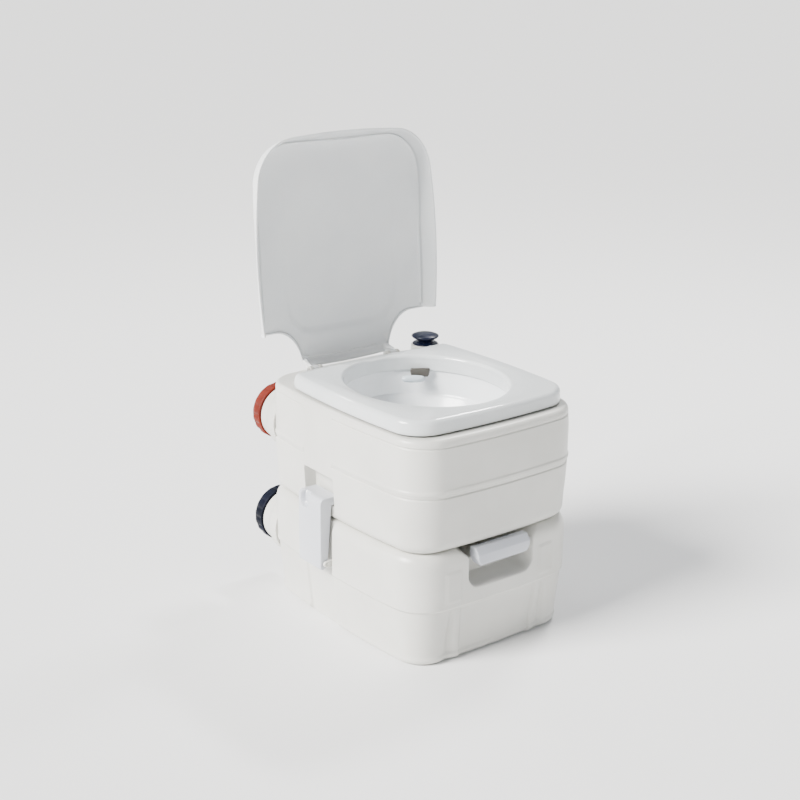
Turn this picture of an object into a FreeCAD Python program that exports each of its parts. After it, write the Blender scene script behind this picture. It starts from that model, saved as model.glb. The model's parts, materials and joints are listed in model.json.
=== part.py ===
"""Portable camp toilet: a flushing seat unit latched on top of a waste holding tank.

Frame: +X to the user's left-hand side when seated facing the front, +Z up, the front faces -Y.
The origin is the middle of the flat base. Every size is in millimetres.
Rest pose: lid open on its stop, pump down, slide valve shut, both caps and both latches closed.
"""
import FreeCAD, Part
import math
import os
import re
import Sketcher
from FreeCAD import Placement, Rotation, Vector

doc = FreeCAD.newDocument("camp_toilet")

# ---------------------------------------------------------------- driving dimensions
DIMENSIONS = [
    ("wall", 3.2, "blow-moulded wall of both tanks"),
    ("side_bow", 1400, "radius of the gently bowed sides in plan"),
    ("corner_radius", 58, "radius of the tank corners in plan"),
    ("half_width", 171, "half width of the tanks at their widest"),
    ("half_depth", 208, "half depth of the tanks at their deepest"),
    ("seam_height", 181, "level where the two tanks meet"),
    ("deck_height", 360, "level of the upper tank's deck, which carries the seat"),
    ("foot_inset", 5, "how much narrower the lower tank is near its foot"),
    ("step_height", 92, "level of the step between the foot and the upper belt of the lower tank"),
    ("belt_height", 279, "level of the moulded belt line round the upper tank"),
    ("opening_half_width", 122, "half width of the seat opening"),
    ("opening_half_depth", 138, "half depth of the seat opening"),
    ("opening_centre", -17, "middle of the seat opening, from front to back"),
    ("seat_half_width", 161, "half width of the seat moulding"),
    ("seat_half_depth", 174, "half depth of the seat moulding"),
    ("seat_centre", -16, "middle of the seat moulding, from front to back"),
    ("seat_bottom", 363, "underside of the seat moulding"),
    ("seat_height", 386, "top of the seat"),
    ("seat_back_height", 380, "top of the lower shelf behind the opening"),
    ("seat_back_start", 128, "where the lower shelf begins"),
    ("skirt_bottom", 352, "lowest edge of the skirt that hangs inside the bowl"),
    ("moulding", 3, "wall of the injection-moulded seat and bowl"),
    ("outlet_radius", 42, "radius of the outlet, the valve port and the tank inlet"),
    ("hinge_depth", 173, "hinge axis, distance behind the middle"),
    ("hinge_height", 367, "hinge axis, height"),
    ("hinge_offset", 78, "middle of each hinge knuckle, from the centre plane"),
    ("hinge_pin_radius", 2.5, "radius of the hinge pins"),
    ("lid_open_angle", 94, "angle from closed at which the lid rests on its stop"),
    ("lid_length", 376, "hinge axis to the front edge of the lid"),
    ("lid_half_width", 176, "half width of the lid's rim"),
    ("lid_dish", 31, "depth of the lid from its rim to its outer face"),
    ("lid_flare", 14, "how far the lid's wall leans out towards the rim"),
    ("lid_wall", 2.5, "wall of the lid"),
    ("lid_notch", 65, "length of the cut-outs that clear the pump and its opposite corner"),
    ("tongue_half_width", 86, "half width of the lid's tongue at the hinge"),
    ("pump_offset", 134, "pump axis, distance from the centre plane"),
    ("pump_depth", 155, "pump axis, distance behind the middle"),
    ("pump_seat", 379, "top of the boss that carries the pump"),
    ("knob_radius", 23.3, "radius of the pump knob"),
    ("stem_radius", 11, "radius of the knob's stem"),
    ("barrel_radius", 13, "bore radius of the pump barrel"),
    ("cap_offset", -111, "axis of both screw caps, from the centre plane"),
    ("filler_height", 288, "height of the filler cap's axis"),
    ("waste_height", 106, "height of the pour-out cap's axis"),
    ("cap_radius", 46.5, "outer radius of the screw caps"),
    ("cap_start", 221, "open edge of the caps"),
    ("cap_end", 244, "outer face of the caps"),
    ("neck_radius", 38, "outer radius of the threaded necks"),
    ("neck_bore", 33.5, "bore radius of the necks"),
    ("neck_end", 236.8, "mouth of the necks"),
    ("collar_radius", 44, "radius of the moulded collar behind each neck"),
    ("collar_end", 219, "end of that collar"),
    ("latch_middle", 33, "middle of the side latches, from front to back"),
    ("latch_width", 60, "width of the side latches"),
    ("latch_face", 186, "outer face of the latches, from the centre plane"),
    ("latch_top", 219, "top of the latches"),
    ("latch_bottom", 102, "bottom of the latches"),
    ("latch_pivot_height", 112, "latch pivot, height"),
    ("latch_pivot_offset", 178, "latch pivot, distance from the centre plane"),
    ("latch_pin_radius", 2.5, "radius of the latch pins"),
    ("sill_height", 205, "level of the sill on the upper tank that the latch hooks bear on"),
    ("channel_width", 80, "width of the upright channel that holds each latch"),
    ("channel_floor", 163, "floor of the channel, from the centre plane"),
    ("catch_top", 252, "top of the finger recess over each latch"),
    ("catch_floor", 148, "floor of the finger recess, from the centre plane"),
    ("trough_floor", 152, "floor of the trough that holds the slide valve"),
    ("trough_half_width", 68, "half width of that trough"),
    ("recess_half_width", 58, "half width of the hand recess in the front"),
    ("recess_back", -172, "back of the hand recess"),
    ("recess_bottom", 116, "front edge of the hand recess's floor"),
    ("blade_half_width", 50, "half width of the valve blade"),
    ("blade_thickness", 3, "thickness of the valve blade"),
    ("handle_half_width", 51, "half width of the valve handle"),
    ("handle_front", -213, "front face of the valve handle"),
]
sizes = doc.addObject("Spreadsheet::Sheet", "Sizes")
for row, (alias, number, meaning) in enumerate(DIMENSIONS, 1):
    sizes.set(f"A{row}", meaning)
    sizes.set(f"B{row}", str(number))
    sizes.setAlias(f"B{row}", alias)
doc.recompute()

ALONG_Y = Rotation(Vector(1, 0, 0), -90)
ALONG_X = Rotation(Vector(0, 1, 0), 90)
ALIASES = {entry[0] for entry in DIMENSIONS}
NODES = []


def bound(expression):
    """Put the sheet's name in front of every alias in an expression."""
    def named(word):
        return "Sizes." + word[0] if word[0] in ALIASES else word[0]
    return re.sub(r"[a-z_]+", named, expression)


def value(expression):
    """The number that an expression in the sheet's aliases gives now."""
    result = sizes.evalExpression(bound(str(expression)))
    return float(getattr(result, "Value", result))


def place(item, position, turn=None):
    """Bind an object's position to the sheet, after giving it its turn."""
    item.Placement = Placement(Vector(*[value(part) for part in position]), turn or Rotation())
    for axis, expression in zip("xyz", position):
        item.setExpression(f"Placement.Base.{axis}", bound(str(expression)))
    return item


def sized(kind, name, properties, position=(0, 0, 0), turn=None):
    """A Part primitive whose sizes and place are bound to the sheet."""
    item = doc.addObject(kind, name)
    for key, expression in properties.items():
        item.setExpression(key, bound(str(expression)))
    return place(item, position, turn)


def block(name, low, high):
    """A box between two corners, given as expressions."""
    spans = [f"({top}) - ({bottom})" for bottom, top in zip(low, high)]
    return sized("Part::Box", name, dict(zip(("Length", "Width", "Height"), spans)), low)


def rod(name, radius, length, position, turn=None):
    """A cylinder that starts at a position and runs along +Z, or along its turn."""
    return sized("Part::Cylinder", name, {"Radius": radius, "Height": length}, position, turn)


def frustum(name, start_radius, end_radius, length, position, turn=None):
    """A cone frustum that starts at a position and runs along +Z, or along its turn."""
    radii = {"Radius1": start_radius, "Radius2": end_radius, "Height": length}
    return sized("Part::Cone", name, radii, position, turn)


def fuse(name, shapes):
    """Join several objects into one solid."""
    item = doc.addObject("Part::MultiFuse", name)
    item.Shapes = shapes
    item.Refine = True
    return item


def cut(name, base, tools):
    """Take one or more objects away from a base."""
    tool = tools[0] if len(tools) == 1 else fuse(name + "_tools", tools)
    item = doc.addObject("Part::Cut", name)
    item.Base = base
    item.Tool = tool
    item.Refine = True
    return item


def node(name, item):
    """Give a finished sub-part its label, which is also its file name."""
    item.Label = name
    NODES.append(item)
    return item


def outline(name, height, half_width, half_depth, corner="corner_radius", centre="0"):
    """A closed sketch of four bowed sides joined by four tangent corner arcs."""
    sketch = doc.addObject("Sketcher::SketchObject", name)
    side, radius = value("side_bow"), value(corner)
    right = Vector(value(half_width) - side, 0, 0)
    back = Vector(0, value(half_depth) - side, 0)
    chord = back - right
    normal = Vector(-chord.y, chord.x, 0)
    if normal.x < 0:
        normal = normal * -1
    normal.normalize()
    reach = math.sqrt((side - radius) ** 2 - (chord.Length / 2) ** 2)
    middle = (right + back) * 0.5 + normal * reach
    low = math.atan2(middle.y - right.y, middle.x - right.x)
    high = math.atan2(middle.y - back.y, middle.x - back.x)
    signs = [(1, 1), (-1, 1), (-1, -1), (1, -1)]
    side_centres = [right, back, right * -1, back * -1]
    for quarter in range(4):
        start = quarter * math.pi / 2
        lean = low if quarter % 2 == 0 else math.pi / 2 - high
        side_arc = Part.Circle(side_centres[quarter], Vector(0, 0, 1), side)
        sketch.addGeometry(Part.ArcOfCircle(side_arc, start - lean, start + lean), False)
        next_lean = math.pi / 2 - high if quarter % 2 == 0 else low
        spot = Vector(middle.x * signs[quarter][0], middle.y * signs[quarter][1], 0)
        turn = Part.Circle(spot, Vector(0, 0, 1), radius)
        end = start + math.pi / 2 - next_lean
        sketch.addGeometry(Part.ArcOfCircle(turn, start + lean, end), False)
    rule = Sketcher.Constraint
    rules = [rule("Tangent", edge, 2, (edge + 1) % 8, 1) for edge in range(8)]
    rules += [rule("Equal", 1, edge) for edge in (3, 5, 7)]
    rules += [rule("Equal", 0, edge) for edge in (2, 4, 6)]
    rules += [rule("PointOnObject", edge, 3, axis) for edge, axis in ((0, -1), (4, -1), (2, -2), (6, -2))]
    sketch.addConstraint(rules)
    across, along = side - value(half_width), side - value(half_depth)
    driving = [
        ("corner", rule("Radius", 1, radius), corner),
        ("bow", rule("Radius", 0, side), "side_bow"),
        ("right", rule("DistanceX", 0, 3, -1, 1, across), f"side_bow - ({half_width})"),
        ("left", rule("DistanceX", -1, 1, 4, 3, across), f"side_bow - ({half_width})"),
        ("back", rule("DistanceY", 2, 3, -1, 1, along), f"side_bow - ({half_depth})"),
        ("front", rule("DistanceY", -1, 1, 6, 3, along), f"side_bow - ({half_depth})"),
    ]
    for label, constraint, expression in driving:
        index = sketch.addConstraint(constraint)
        sketch.renameConstraint(index, label)
        sketch.setExpression(f"Constraints.{label}", bound(expression))
    return place(sketch, ("0", centre, height))


def ellipse(name, height, half_width, half_depth, centre="opening_centre"):
    """A level ellipse, longer from front to back."""
    radii = {"MajorRadius": half_depth, "MinorRadius": half_width}
    return sized("Part::Ellipse", name, radii, ("0", centre, height), Rotation(Vector(0, 0, 1), 90))


def loft(name, sections):
    """A solid with straight walls from each level section to the next."""
    item = doc.addObject("Part::Loft", name)
    item.Sections = sections
    item.Solid = True
    item.Ruled = True
    return item


def polygon(name, corners, start, length, turn):
    """A flat polygon sketch, every corner bound to the sheet, pushed out to a prism."""
    sketch = doc.addObject("Sketcher::SketchObject", name + "_sketch")
    points = [Vector(value(across), value(up), 0) for across, up in corners]
    count = len(points)
    for index, point in enumerate(points):
        sketch.addGeometry(Part.LineSegment(point, points[(index + 1) % count]), False)
    for index, (across, up) in enumerate(corners):
        sketch.addConstraint(Sketcher.Constraint("Coincident", index, 2, (index + 1) % count, 1))
        for kind, expression, number in (("X", across, points[index].x), ("Y", up, points[index].y)):
            where = sketch.addConstraint(
                Sketcher.Constraint("Distance" + kind, -1, 1, index, 1, number))
            label = f"corner_{kind.lower()}{index}"
            sketch.renameConstraint(where, label)
            sketch.setExpression(f"Constraints.{label}", bound(str(expression)))
    place(sketch, start, turn)
    item = doc.addObject("Part::Extrusion", name)
    item.Base = sketch
    item.DirMode = "Normal"
    item.Solid = True
    item.setExpression("LengthFwd", bound(str(length)))
    return item


def tank_sections(name, levels, inset="0"):
    """The outlines of a tank at its levels, drawn in by an inset."""
    return [outline(f"{name}_{index}", height, f"half_width - {across} - {inset}",
                    f"half_depth - {along} - {inset}", f"corner_radius - {inset}")
            for index, (height, across, along) in enumerate(levels)]


def neck(name, height):
    """The collar and threaded neck that carry a screw cap, and the bore through them."""
    where = ("cap_offset", "150", height)
    collar = rod(name + "_collar", "collar_radius", "collar_end - 150", where, ALONG_Y)
    thread = rod(name + "_thread", "neck_radius", "neck_end - 150", where, ALONG_Y)
    bore = rod(name + "_bore", "neck_bore", "neck_end - 149", where, ALONG_Y)
    return [collar, thread], bore


# ---------------------------------------------------------------- upper tank with bowl well
UPPER_LEVELS = [
    ("seam_height", 15, 13), ("seam_height + 12", 5, 3), ("belt_height - 2", 0, 0),
    ("belt_height + 2", 1, 1), ("deck_height - 10", 0, 0), ("deck_height", 6, 6),
]
upper_outer = loft("upper_outer", tank_sections("upper_outline", UPPER_LEVELS))
UPPER_INNER = [
    ("seam_height + wall", 17, 15), ("seam_height + 14", 5, 3), ("belt_height", 1, 1),
    ("deck_height - 10", 0, 0), ("deck_height - wall", 5, 5),
]
upper_inner = loft("upper_inner", tank_sections("upper_cavity", UPPER_INNER, "wall"))


def latch_pocket(name, side, grow):
    """The pocket in the upper tank's side: a shallow slot below the sill, a deep recess above it."""
    low = f"latch_middle - channel_width / 2 - {grow}"
    high = f"latch_middle + channel_width / 2 + {grow}"
    spans = (("slot", "channel_floor", "seam_height - 1", "sill_height + 1"),
             ("recess", "catch_floor", "sill_height", f"catch_top + {grow}"))
    pieces = []
    for label, floor, bottom, top in spans:
        inner = f"{floor} - {grow}"
        edges = (inner, "200") if side > 0 else ("-200", f"-({inner})")
        pieces.append(block(f"{name}_{label}", (edges[0], low, f"{bottom} - {grow}"),
                            (edges[1], high, top)))
    return pieces


upper_neck, upper_bore = neck("filler_neck", "filler_height")
pump_place = ("pump_offset", "pump_depth")
upper_pockets = latch_pocket("pocket_left", -1, "0") + latch_pocket("pocket_right", 1, "0")
upper_keep = latch_pocket("keep_left", -1, "wall") + latch_pocket("keep_right", 1, "wall")
upper_cavity = cut("upper_tank_cavity", upper_inner, upper_keep)
ears = []
for side in (-1, 1):
    for label, middle in (("inner", "hinge_offset - 9"), ("outer", "hinge_offset + 9")):
        start = f"{side} * ({middle}) - 3"
        ears.append(block(f"ear_{label}_{side + 1}", (start, "hinge_depth - 6", "deck_height - 1"),
                          (f"{start} + 6", "hinge_depth + 6", "hinge_height")))
        ears.append(rod(f"ear_round_{label}_{side + 1}", "6", "6",
                        (start, "hinge_depth", "hinge_height"), ALONG_X))
pump_boss = rod("pump_boss", "24", "pump_seat - deck_height + 1", pump_place + ("deck_height - 1",))
upper_body = cut("upper_hollow", fuse("upper_solid", [upper_outer] + upper_neck), [upper_cavity])
upper_holes = [
    loft("deck_opening", [ellipse("deck_opening_low", "deck_height - 20", "opening_half_width + 9",
                                  "opening_half_depth + 9"),
                          ellipse("deck_opening_high", "deck_height + 5", "opening_half_width + 9",
                                  "opening_half_depth + 9")]),
    rod("outlet_hole", "outlet_radius + 4.2", "20", ("0", "0", "seam_height - 5")),
    rod("barrel_hole", "barrel_radius + 2.6", "40", pump_place + ("deck_height - 15",)),
    rod("hinge_pin_holes", "hinge_pin_radius", "400", ("-200", "hinge_depth", "hinge_height"), ALONG_X),
    upper_bore,
]
upper_with_fittings = fuse("upper_with_fittings", [upper_body, pump_boss] + ears)
node("upper_tank_shell", cut("upper_tank_shell", upper_with_fittings, upper_pockets + upper_holes))

# ---------------------------------------------------------------- bowl
BOWL_LEVELS = [
    ("deck_height + 3", "opening_half_width + 5", "opening_half_depth + 5", "opening_centre"),
    ("deck_height - 12", "opening_half_width + 4", "opening_half_depth + 4", "opening_centre"),
    ("deck_height - 38", "opening_half_width - 1", "opening_half_depth - 1", "opening_centre"),
    ("deck_height - 66", "opening_half_width - 11", "opening_half_depth - 12", "opening_centre + 2"),
    ("deck_height - 94", "opening_half_width - 25", "opening_half_depth - 29", "opening_centre + 5"),
    ("deck_height - 120", "opening_half_width - 43", "opening_half_depth - 50", "opening_centre + 9"),
    ("deck_height - 142", "outlet_radius + 18", "outlet_radius + 24", "opening_centre + 13"),
    ("seam_height + 18", "outlet_radius + 2", "outlet_radius + 4", "opening_centre + 16"),
]


def bowl_loft(name, grow):
    """The bowl's funnel, grown by a wall."""
    return loft(name, [ellipse(f"{name}_{index}", height, f"{across} + {grow}", f"{along} + {grow}", middle)
                       for index, (height, across, along, middle) in enumerate(BOWL_LEVELS)])


bowl_rim = loft("bowl_rim", [ellipse("bowl_rim_low", "deck_height", "opening_half_width + 16",
                                     "opening_half_depth + 16"),
                             ellipse("bowl_rim_high", "seat_bottom", "opening_half_width + 16",
                                     "opening_half_depth + 16")])
bowl_collar = rod("bowl_collar", "outlet_radius + 4", "40", ("0", "0", "seam_height - 9"))
bowl_outside = fuse("bowl_outside", [bowl_loft("bowl_outer", "moulding"), bowl_rim, bowl_collar])
bowl_outlet = rod("bowl_outlet", "outlet_radius", "50", ("0", "0", "seam_height - 10"))
NOZZLE_ANGLE = 58
NOZZLE_HEIGHT = 341
nozzle_way = Vector(math.cos(math.radians(NOZZLE_ANGLE)), math.sin(math.radians(NOZZLE_ANGLE)), 0)
nozzle_turn = Rotation(Vector(0, 0, 1), nozzle_way)
nozzle_wall = Vector(0, value("opening_centre"), NOZZLE_HEIGHT) + nozzle_way * 131


def spot(distance):
    """A point on the nozzle's axis, at a distance outside the bowl's inner face."""
    point = nozzle_wall + nozzle_way * distance
    return (str(point.x), str(point.y), str(point.z))


nozzle_hole = rod("nozzle_hole", "8.2", "24", spot(-12), nozzle_turn)
node("bowl", cut("bowl", bowl_outside, [bowl_loft("bowl_inner", "0"), bowl_outlet, nozzle_hole]))

# ---------------------------------------------------------------- seat
SEAT_LEVELS = [("seat_bottom", 0), ("seat_height - 10", 1), ("seat_height - 3", 4), ("seat_height", 9)]
seat_outer = loft("seat_outer", [
    outline(f"seat_outline_{index}", height, f"seat_half_width - {inset}", f"seat_half_depth - {inset}",
            "corner_radius - 12", "seat_centre") for index, (height, inset) in enumerate(SEAT_LEVELS)])
seat_inner = loft("seat_inner", [
    outline(f"seat_cavity_{index}", height, f"seat_half_width - moulding - {inset}",
            f"seat_half_depth - moulding - {inset}", "corner_radius - 15", "seat_centre")
    for index, (height, inset) in enumerate((("seat_bottom - 1", 0), ("seat_height - 6", 4)))])


def oval_prism(name, low, high, grow):
    """An upright prism on the seat opening's oval, grown by an amount."""
    across, along = f"opening_half_width + {grow}", f"opening_half_depth + {grow}"
    return loft(name, [ellipse(name + "_low", low, across, along),
                       ellipse(name + "_high", high, across, along)])


seat_skirt = oval_prism("seat_skirt", "skirt_bottom", "seat_height - 4", "moulding")
seat_lip = oval_prism("seat_lip", "seat_bottom - 2", "seat_height", "moulding")
shelf_over = block("shelf_over", ("-200", "seat_back_start", "seat_back_height"),
                   ("200", "220", "seat_height + 9"))
shelf_keep = block("shelf_keep", ("-200", "seat_back_start - 3", "seat_back_height - 3.5"),
                   ("200", "220", "seat_height + 9"))
boss_keep = rod("boss_keep", "30", "60", pump_place + ("seat_bottom - 20",))
boss_gap = rod("boss_gap", "26", "60", pump_place + ("seat_bottom - 20",))
seat_cavity = cut("seat_cavity", seat_inner, [seat_lip, shelf_keep, boss_keep])
seat_solid = fuse("seat_solid", [cut("seat_hollow", seat_outer, [seat_cavity]), seat_skirt])
node("seat_top", cut("seat_top", seat_solid, [
    oval_prism("seat_hole", "skirt_bottom - 5", "seat_height + 5", "0"), shelf_over, boss_gap]))

# ---------------------------------------------------------------- lid, drawn closed about its hinge axis
RIM_DROP = 3
# Each level is a height above the rim's plane and a share of the flare; past 1 the face's edge rounds in.
LID_OUTSIDE = [(-RIM_DROP, 0), (19, 0.72), (26, 0.9), (28, 1.25)]
LID_INSIDE = [(-RIM_DROP - 1, -0.03), (18, 0.72), (25.5, 0.95)]


def lid_loft(name, wall, levels):
    """The lid's dish, its wall leaning in from the rim to the outer face."""
    return loft(name, [
        outline(f"{name}_{index}", height, f"lid_half_width - {wall} - lid_flare * {lean}",
                f"lid_length / 2 - {wall} - lid_flare * {lean}", "corner_radius + 4", "-lid_length / 2")
        for index, (height, lean) in enumerate(levels)])


lid_outer = lid_loft("lid_outer", "0", LID_OUTSIDE)
lid_inner = lid_loft("lid_inner", "lid_wall", LID_INSIDE)
# The cut-out's corners: distance from the centre plane, and distance from the hinge end.
NOTCH = [("lid_half_width + 9", 0), ("lid_half_width + 9", "lid_notch"),
         ("tongue_half_width + 50", "lid_notch"), ("tongue_half_width + 27", "lid_notch - 8"),
         ("tongue_half_width + 14", "lid_notch - 22"), ("tongue_half_width + 5", "lid_notch - 43"),
         ("tongue_half_width", 0)]
notches = []
for side, label in ((-1, "left"), (1, "right")):
    corners = [(f"{side} * ({across})", f"8 - ({along}) - 8 * min(1; {along} / 10)")
               for across, along in NOTCH]
    notches.append(polygon(f"lid_notch_{label}", corners, ("0", "0", "-10"), "50", Rotation()))
hinge_gap = block("lid_hinge_gap", ("-200", "-9", "-9"), ("200", "9", "13"))
lid_dish = cut("lid_dish", lid_outer, [lid_inner, hinge_gap] + notches)
knuckles = []
for side in (-1, 1):
    start = f"{side} * hinge_offset - 5.5"
    knuckles.append(rod(f"knuckle_{side + 1}", "5.5", "11", (start, "0", "0"), ALONG_X))
    knuckles.append(block(f"knuckle_arm_{side + 1}", (start, "-5.5", "0"), (f"{start} + 11", "0", "14")))
    knuckles.append(block(f"knuckle_root_{side + 1}", (start, "-12", "12.5"), (f"{start} + 11", "0", "18")))
lid = cut("lid", fuse("lid_with_knuckles", [lid_dish] + knuckles),
          [rod("lid_pin_bore", "hinge_pin_radius + 0.06", "400", ("-200", "0", "0"), ALONG_X)])
place(lid, ("0", "hinge_depth", "hinge_height"), Rotation(Vector(-1, 0, 0), value("lid_open_angle")))
lid.setExpression("Placement.Rotation.Angle", bound("lid_open_angle * 1 deg"))
node("lid", lid)

for side, label in ((-1, "left"), (1, "right")):
    start = f"{side} * hinge_offset - 12"
    head = f"{side} * (hinge_offset + 12) - {0 if side > 0 else 1.6}"
    shank = rod(f"hinge_shank_{label}", "hinge_pin_radius", "24",
                (start, "hinge_depth", "hinge_height"), ALONG_X)
    cap = rod(f"hinge_head_{label}", "4", "1.6", (head, "hinge_depth", "hinge_height"), ALONG_X)
    node(f"hinge_pin_{label}", fuse(f"hinge_pin_{label}", [shank, cap]))

# ---------------------------------------------------------------- piston pump
PISTON_BASE = 214
PISTON_HEIGHT = 10
BARREL_BOTTOM = 200
pump_column = pump_place + ("pump_seat",)


def on_pump(height):
    """A point on the pump's axis at a height."""
    return pump_place + (str(height),)


node("pump_collar", cut("pump_collar", fuse("collar_parts", [
    rod("collar_disc", "21.5", "2.6", pump_column),
    frustum("collar_rise", "15", "13.2", "1.6", pump_place + ("pump_seat + 2.4",)),
]), [rod("collar_bore", "stem_radius + 0.4", "20", pump_place + ("pump_seat - 5",))]))
node("pump_knob", fuse("pump_knob", [
    rod("knob_stem", "stem_radius", "62", pump_place + ("pump_seat - 50",)),
    frustum("knob_under", "14", "knob_radius - 1.2", "1.6", pump_place + ("pump_seat + 9",)),
    rod("knob_rim", "knob_radius", "4.5", pump_place + ("pump_seat + 10.4",)),
    frustum("knob_crown", "knob_radius", "knob_radius - 7", "3.6", pump_place + ("pump_seat + 14.8",)),
]))
rod_base = PISTON_BASE + PISTON_HEIGHT
node("pump_rod", rod("pump_rod", "4", f"pump_seat - 50 - {rod_base}", on_pump(rod_base)))
piston = rod("piston_disc", "barrel_radius - 0.08", str(PISTON_HEIGHT), on_pump(PISTON_BASE))
groove = cut("piston_groove", rod("groove_out", "barrel_radius + 1", "3.4", on_pump(PISTON_BASE + 3.3)),
             [rod("groove_in", "barrel_radius - 2.6", "3.4", on_pump(PISTON_BASE + 3.3))])
node("pump_piston", cut("pump_piston", piston, [groove]))
seal_out = rod("seal_out", "barrel_radius - 0.04", "3", on_pump(PISTON_BASE + 3.5))
seal_in = rod("seal_in", "barrel_radius - 2.5", "3", on_pump(PISTON_BASE + 3.5))
node("piston_seal", cut("piston_seal", seal_out, [seal_in]))
barrel_tube = rod("barrel_tube", "barrel_radius + 2.5", f"pump_seat - {BARREL_BOTTOM}",
                  on_pump(BARREL_BOTTOM))
port_turn = Rotation(Vector(0, 0, 1), Vector(-1, -0.45, 0))
PORT_HEIGHT = 207
HOSE_RADIUS = 4
PORT_LENGTH = 24
barrel_port = rod("barrel_port", f"{HOSE_RADIUS}", str(PORT_LENGTH), on_pump(PORT_HEIGHT), port_turn)
node("pump_barrel", cut("pump_barrel", fuse("barrel_with_port", [barrel_tube, barrel_port]), [
    rod("barrel_bore", "barrel_radius", "200", on_pump(BARREL_BOTTOM - 1)),
    rod("port_bore", "2.6", "30", on_pump(PORT_HEIGHT), port_turn)]))
node("foot_valve", cut("foot_valve", fuse("foot_body", [
    rod("foot_plug", "barrel_radius - 0.05", "3", on_pump(BARREL_BOTTOM)),
    rod("foot_flange", "barrel_radius + 2.5", "4", on_pump(BARREL_BOTTOM - 4))]),
    [rod("foot_hole", "6", "30", on_pump(BARREL_BOTTOM - 10))]))
node("foot_valve_flap", rod("foot_valve_flap", "9", "1.2", on_pump(BARREL_BOTTOM + 3)))


def tube_path(points):
    """Straight runs joined by tangent arcs, each as large as its two runs allow."""
    edges, last = [], points[0]
    for before, corner, after in zip(points, points[1:], points[2:]):
        inward, outward = (before - corner), (after - corner)
        turn = math.pi - inward.getAngle(outward)
        trim = 0.45 * min(inward.Length, outward.Length)
        radius = trim / math.tan(turn / 2)
        print("hose bend radius", round(radius, 1))
        inward.normalize()
        outward.normalize()
        start, end = corner + inward * trim, corner + outward * trim
        bisector = inward + outward
        bisector.normalize()
        centre = corner + bisector * (radius / math.cos(turn / 2))
        middle = centre - bisector * radius
        edges += [Part.LineSegment(last, start).toShape(), Part.Arc(start, middle, end).toShape()]
        last = end
    edges.append(Part.LineSegment(last, points[-1]).toShape())
    return Part.Wire(edges)


pump_axis = Vector(value("pump_offset"), value("pump_depth"), 0)
port_way = Vector(-1, -0.45, 0)
port_way.normalize()
hose_start = pump_axis + port_way * PORT_LENGTH + Vector(0, 0, PORT_HEIGHT)
hose_end = nozzle_wall + nozzle_way * 18
rise = Vector(0, 0, 1)
hose_route = [hose_start, hose_start + port_way * 16, hose_start + port_way * 30 + rise * 8,
              hose_start + port_way * 38 + rise * 22, Vector(80, 131, 252), Vector(90, 136, 275),
              Vector(98, 141, 297), hose_end + nozzle_way * 37 - rise * 22,
              hose_end + nozzle_way * 29 - rise * 8, hose_end + nozzle_way * 15, hose_end]
hose_line = tube_path(hose_route)
hose_ring = Part.Wire(Part.Circle(hose_start, port_way, HOSE_RADIUS).toShape())
hose = doc.addObject("Part::Feature", "delivery_hose")
hose.Shape = hose_line.makePipeShell([hose_ring], True, True)
hose.Placement = Placement()
node("delivery_hose", hose)

node("nozzle_bracket", cut("nozzle_bracket", fuse("bracket_parts", [
    rod("bracket_plug", "8", "26", spot(-8), nozzle_turn),
    rod("bracket_flange", "12", "2", spot(-10), nozzle_turn)]),
    [rod("bracket_bore", "4", "40", spot(-20), nozzle_turn)]))
hood_turn = Rotation(Vector(0, 0, 1), NOZZLE_ANGLE - 90)


def hood_block(name, across, through, up, inset, drop):
    """A box square to the bowl's wall, at a depth inside it."""
    corner = nozzle_wall + nozzle_way * -inset + hood_turn.multVec(Vector(-across / 2 - 3, 0, -drop))
    return sized("Part::Box", name, {"Length": str(across), "Width": str(through), "Height": str(up)},
                 (str(corner.x), str(corner.y), str(corner.z)), hood_turn)


hood = hood_block("hood", 52, 13, 21, 23, 10)
hood_hollow = hood_block("hood_hollow", 50, 8, 17, 20.5, 8)
node("flush_nozzle", cut("flush_nozzle", hood, [
    hood_hollow, rod("nozzle_inlet", "4", "10", spot(-16), nozzle_turn)]))

# ---------------------------------------------------------------- screw caps
for label, height in (("filler_cap", "filler_height"), ("waste_cap", "waste_height")):
    body = rod(label + "_body", "cap_radius", "cap_end - cap_start - 2",
               ("cap_offset", "cap_start", height), ALONG_Y)
    edge = frustum(label + "_edge", "cap_radius", "cap_radius - 2", "2",
                   ("cap_offset", "cap_end - 2", height), ALONG_Y)
    bore = rod(label + "_bore", "neck_radius + 1.2", "cap_end - cap_start - 4",
               ("cap_offset", "cap_start", height), ALONG_Y)
    node(label, cut(label, fuse(label + "_solid", [body, edge]), [bore]))
    node(label + "_seal", rod(label + "_seal", "neck_radius + 0.6", "cap_end - 4.2 - neck_end - 0.2",
                              ("cap_offset", "neck_end + 0.2", height), ALONG_Y))

# ---------------------------------------------------------------- lower tank
LOWER_LEVELS = [
    ("0", 14, 15), ("9", 6, 7), ("step_height - 3", 4, 5), ("step_height + 3", 1, 1),
    ("seam_height - 22", 0, 0), ("seam_height - 6", 5, 4), ("seam_height", 15, 13),
]
lower_outer = loft("lower_outer", tank_sections("lower_outline", LOWER_LEVELS))
LOWER_INNER = [
    ("wall", 16, 17), ("11", 7, 8), ("step_height + 3", 4, 5), ("seam_height - 22", 1, 1),
    ("seam_height - 8", 6, 5), ("seam_height - wall", 16, 14),
]
lower_inner = loft("lower_inner", tank_sections("lower_cavity", LOWER_INNER, "wall"))


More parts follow.
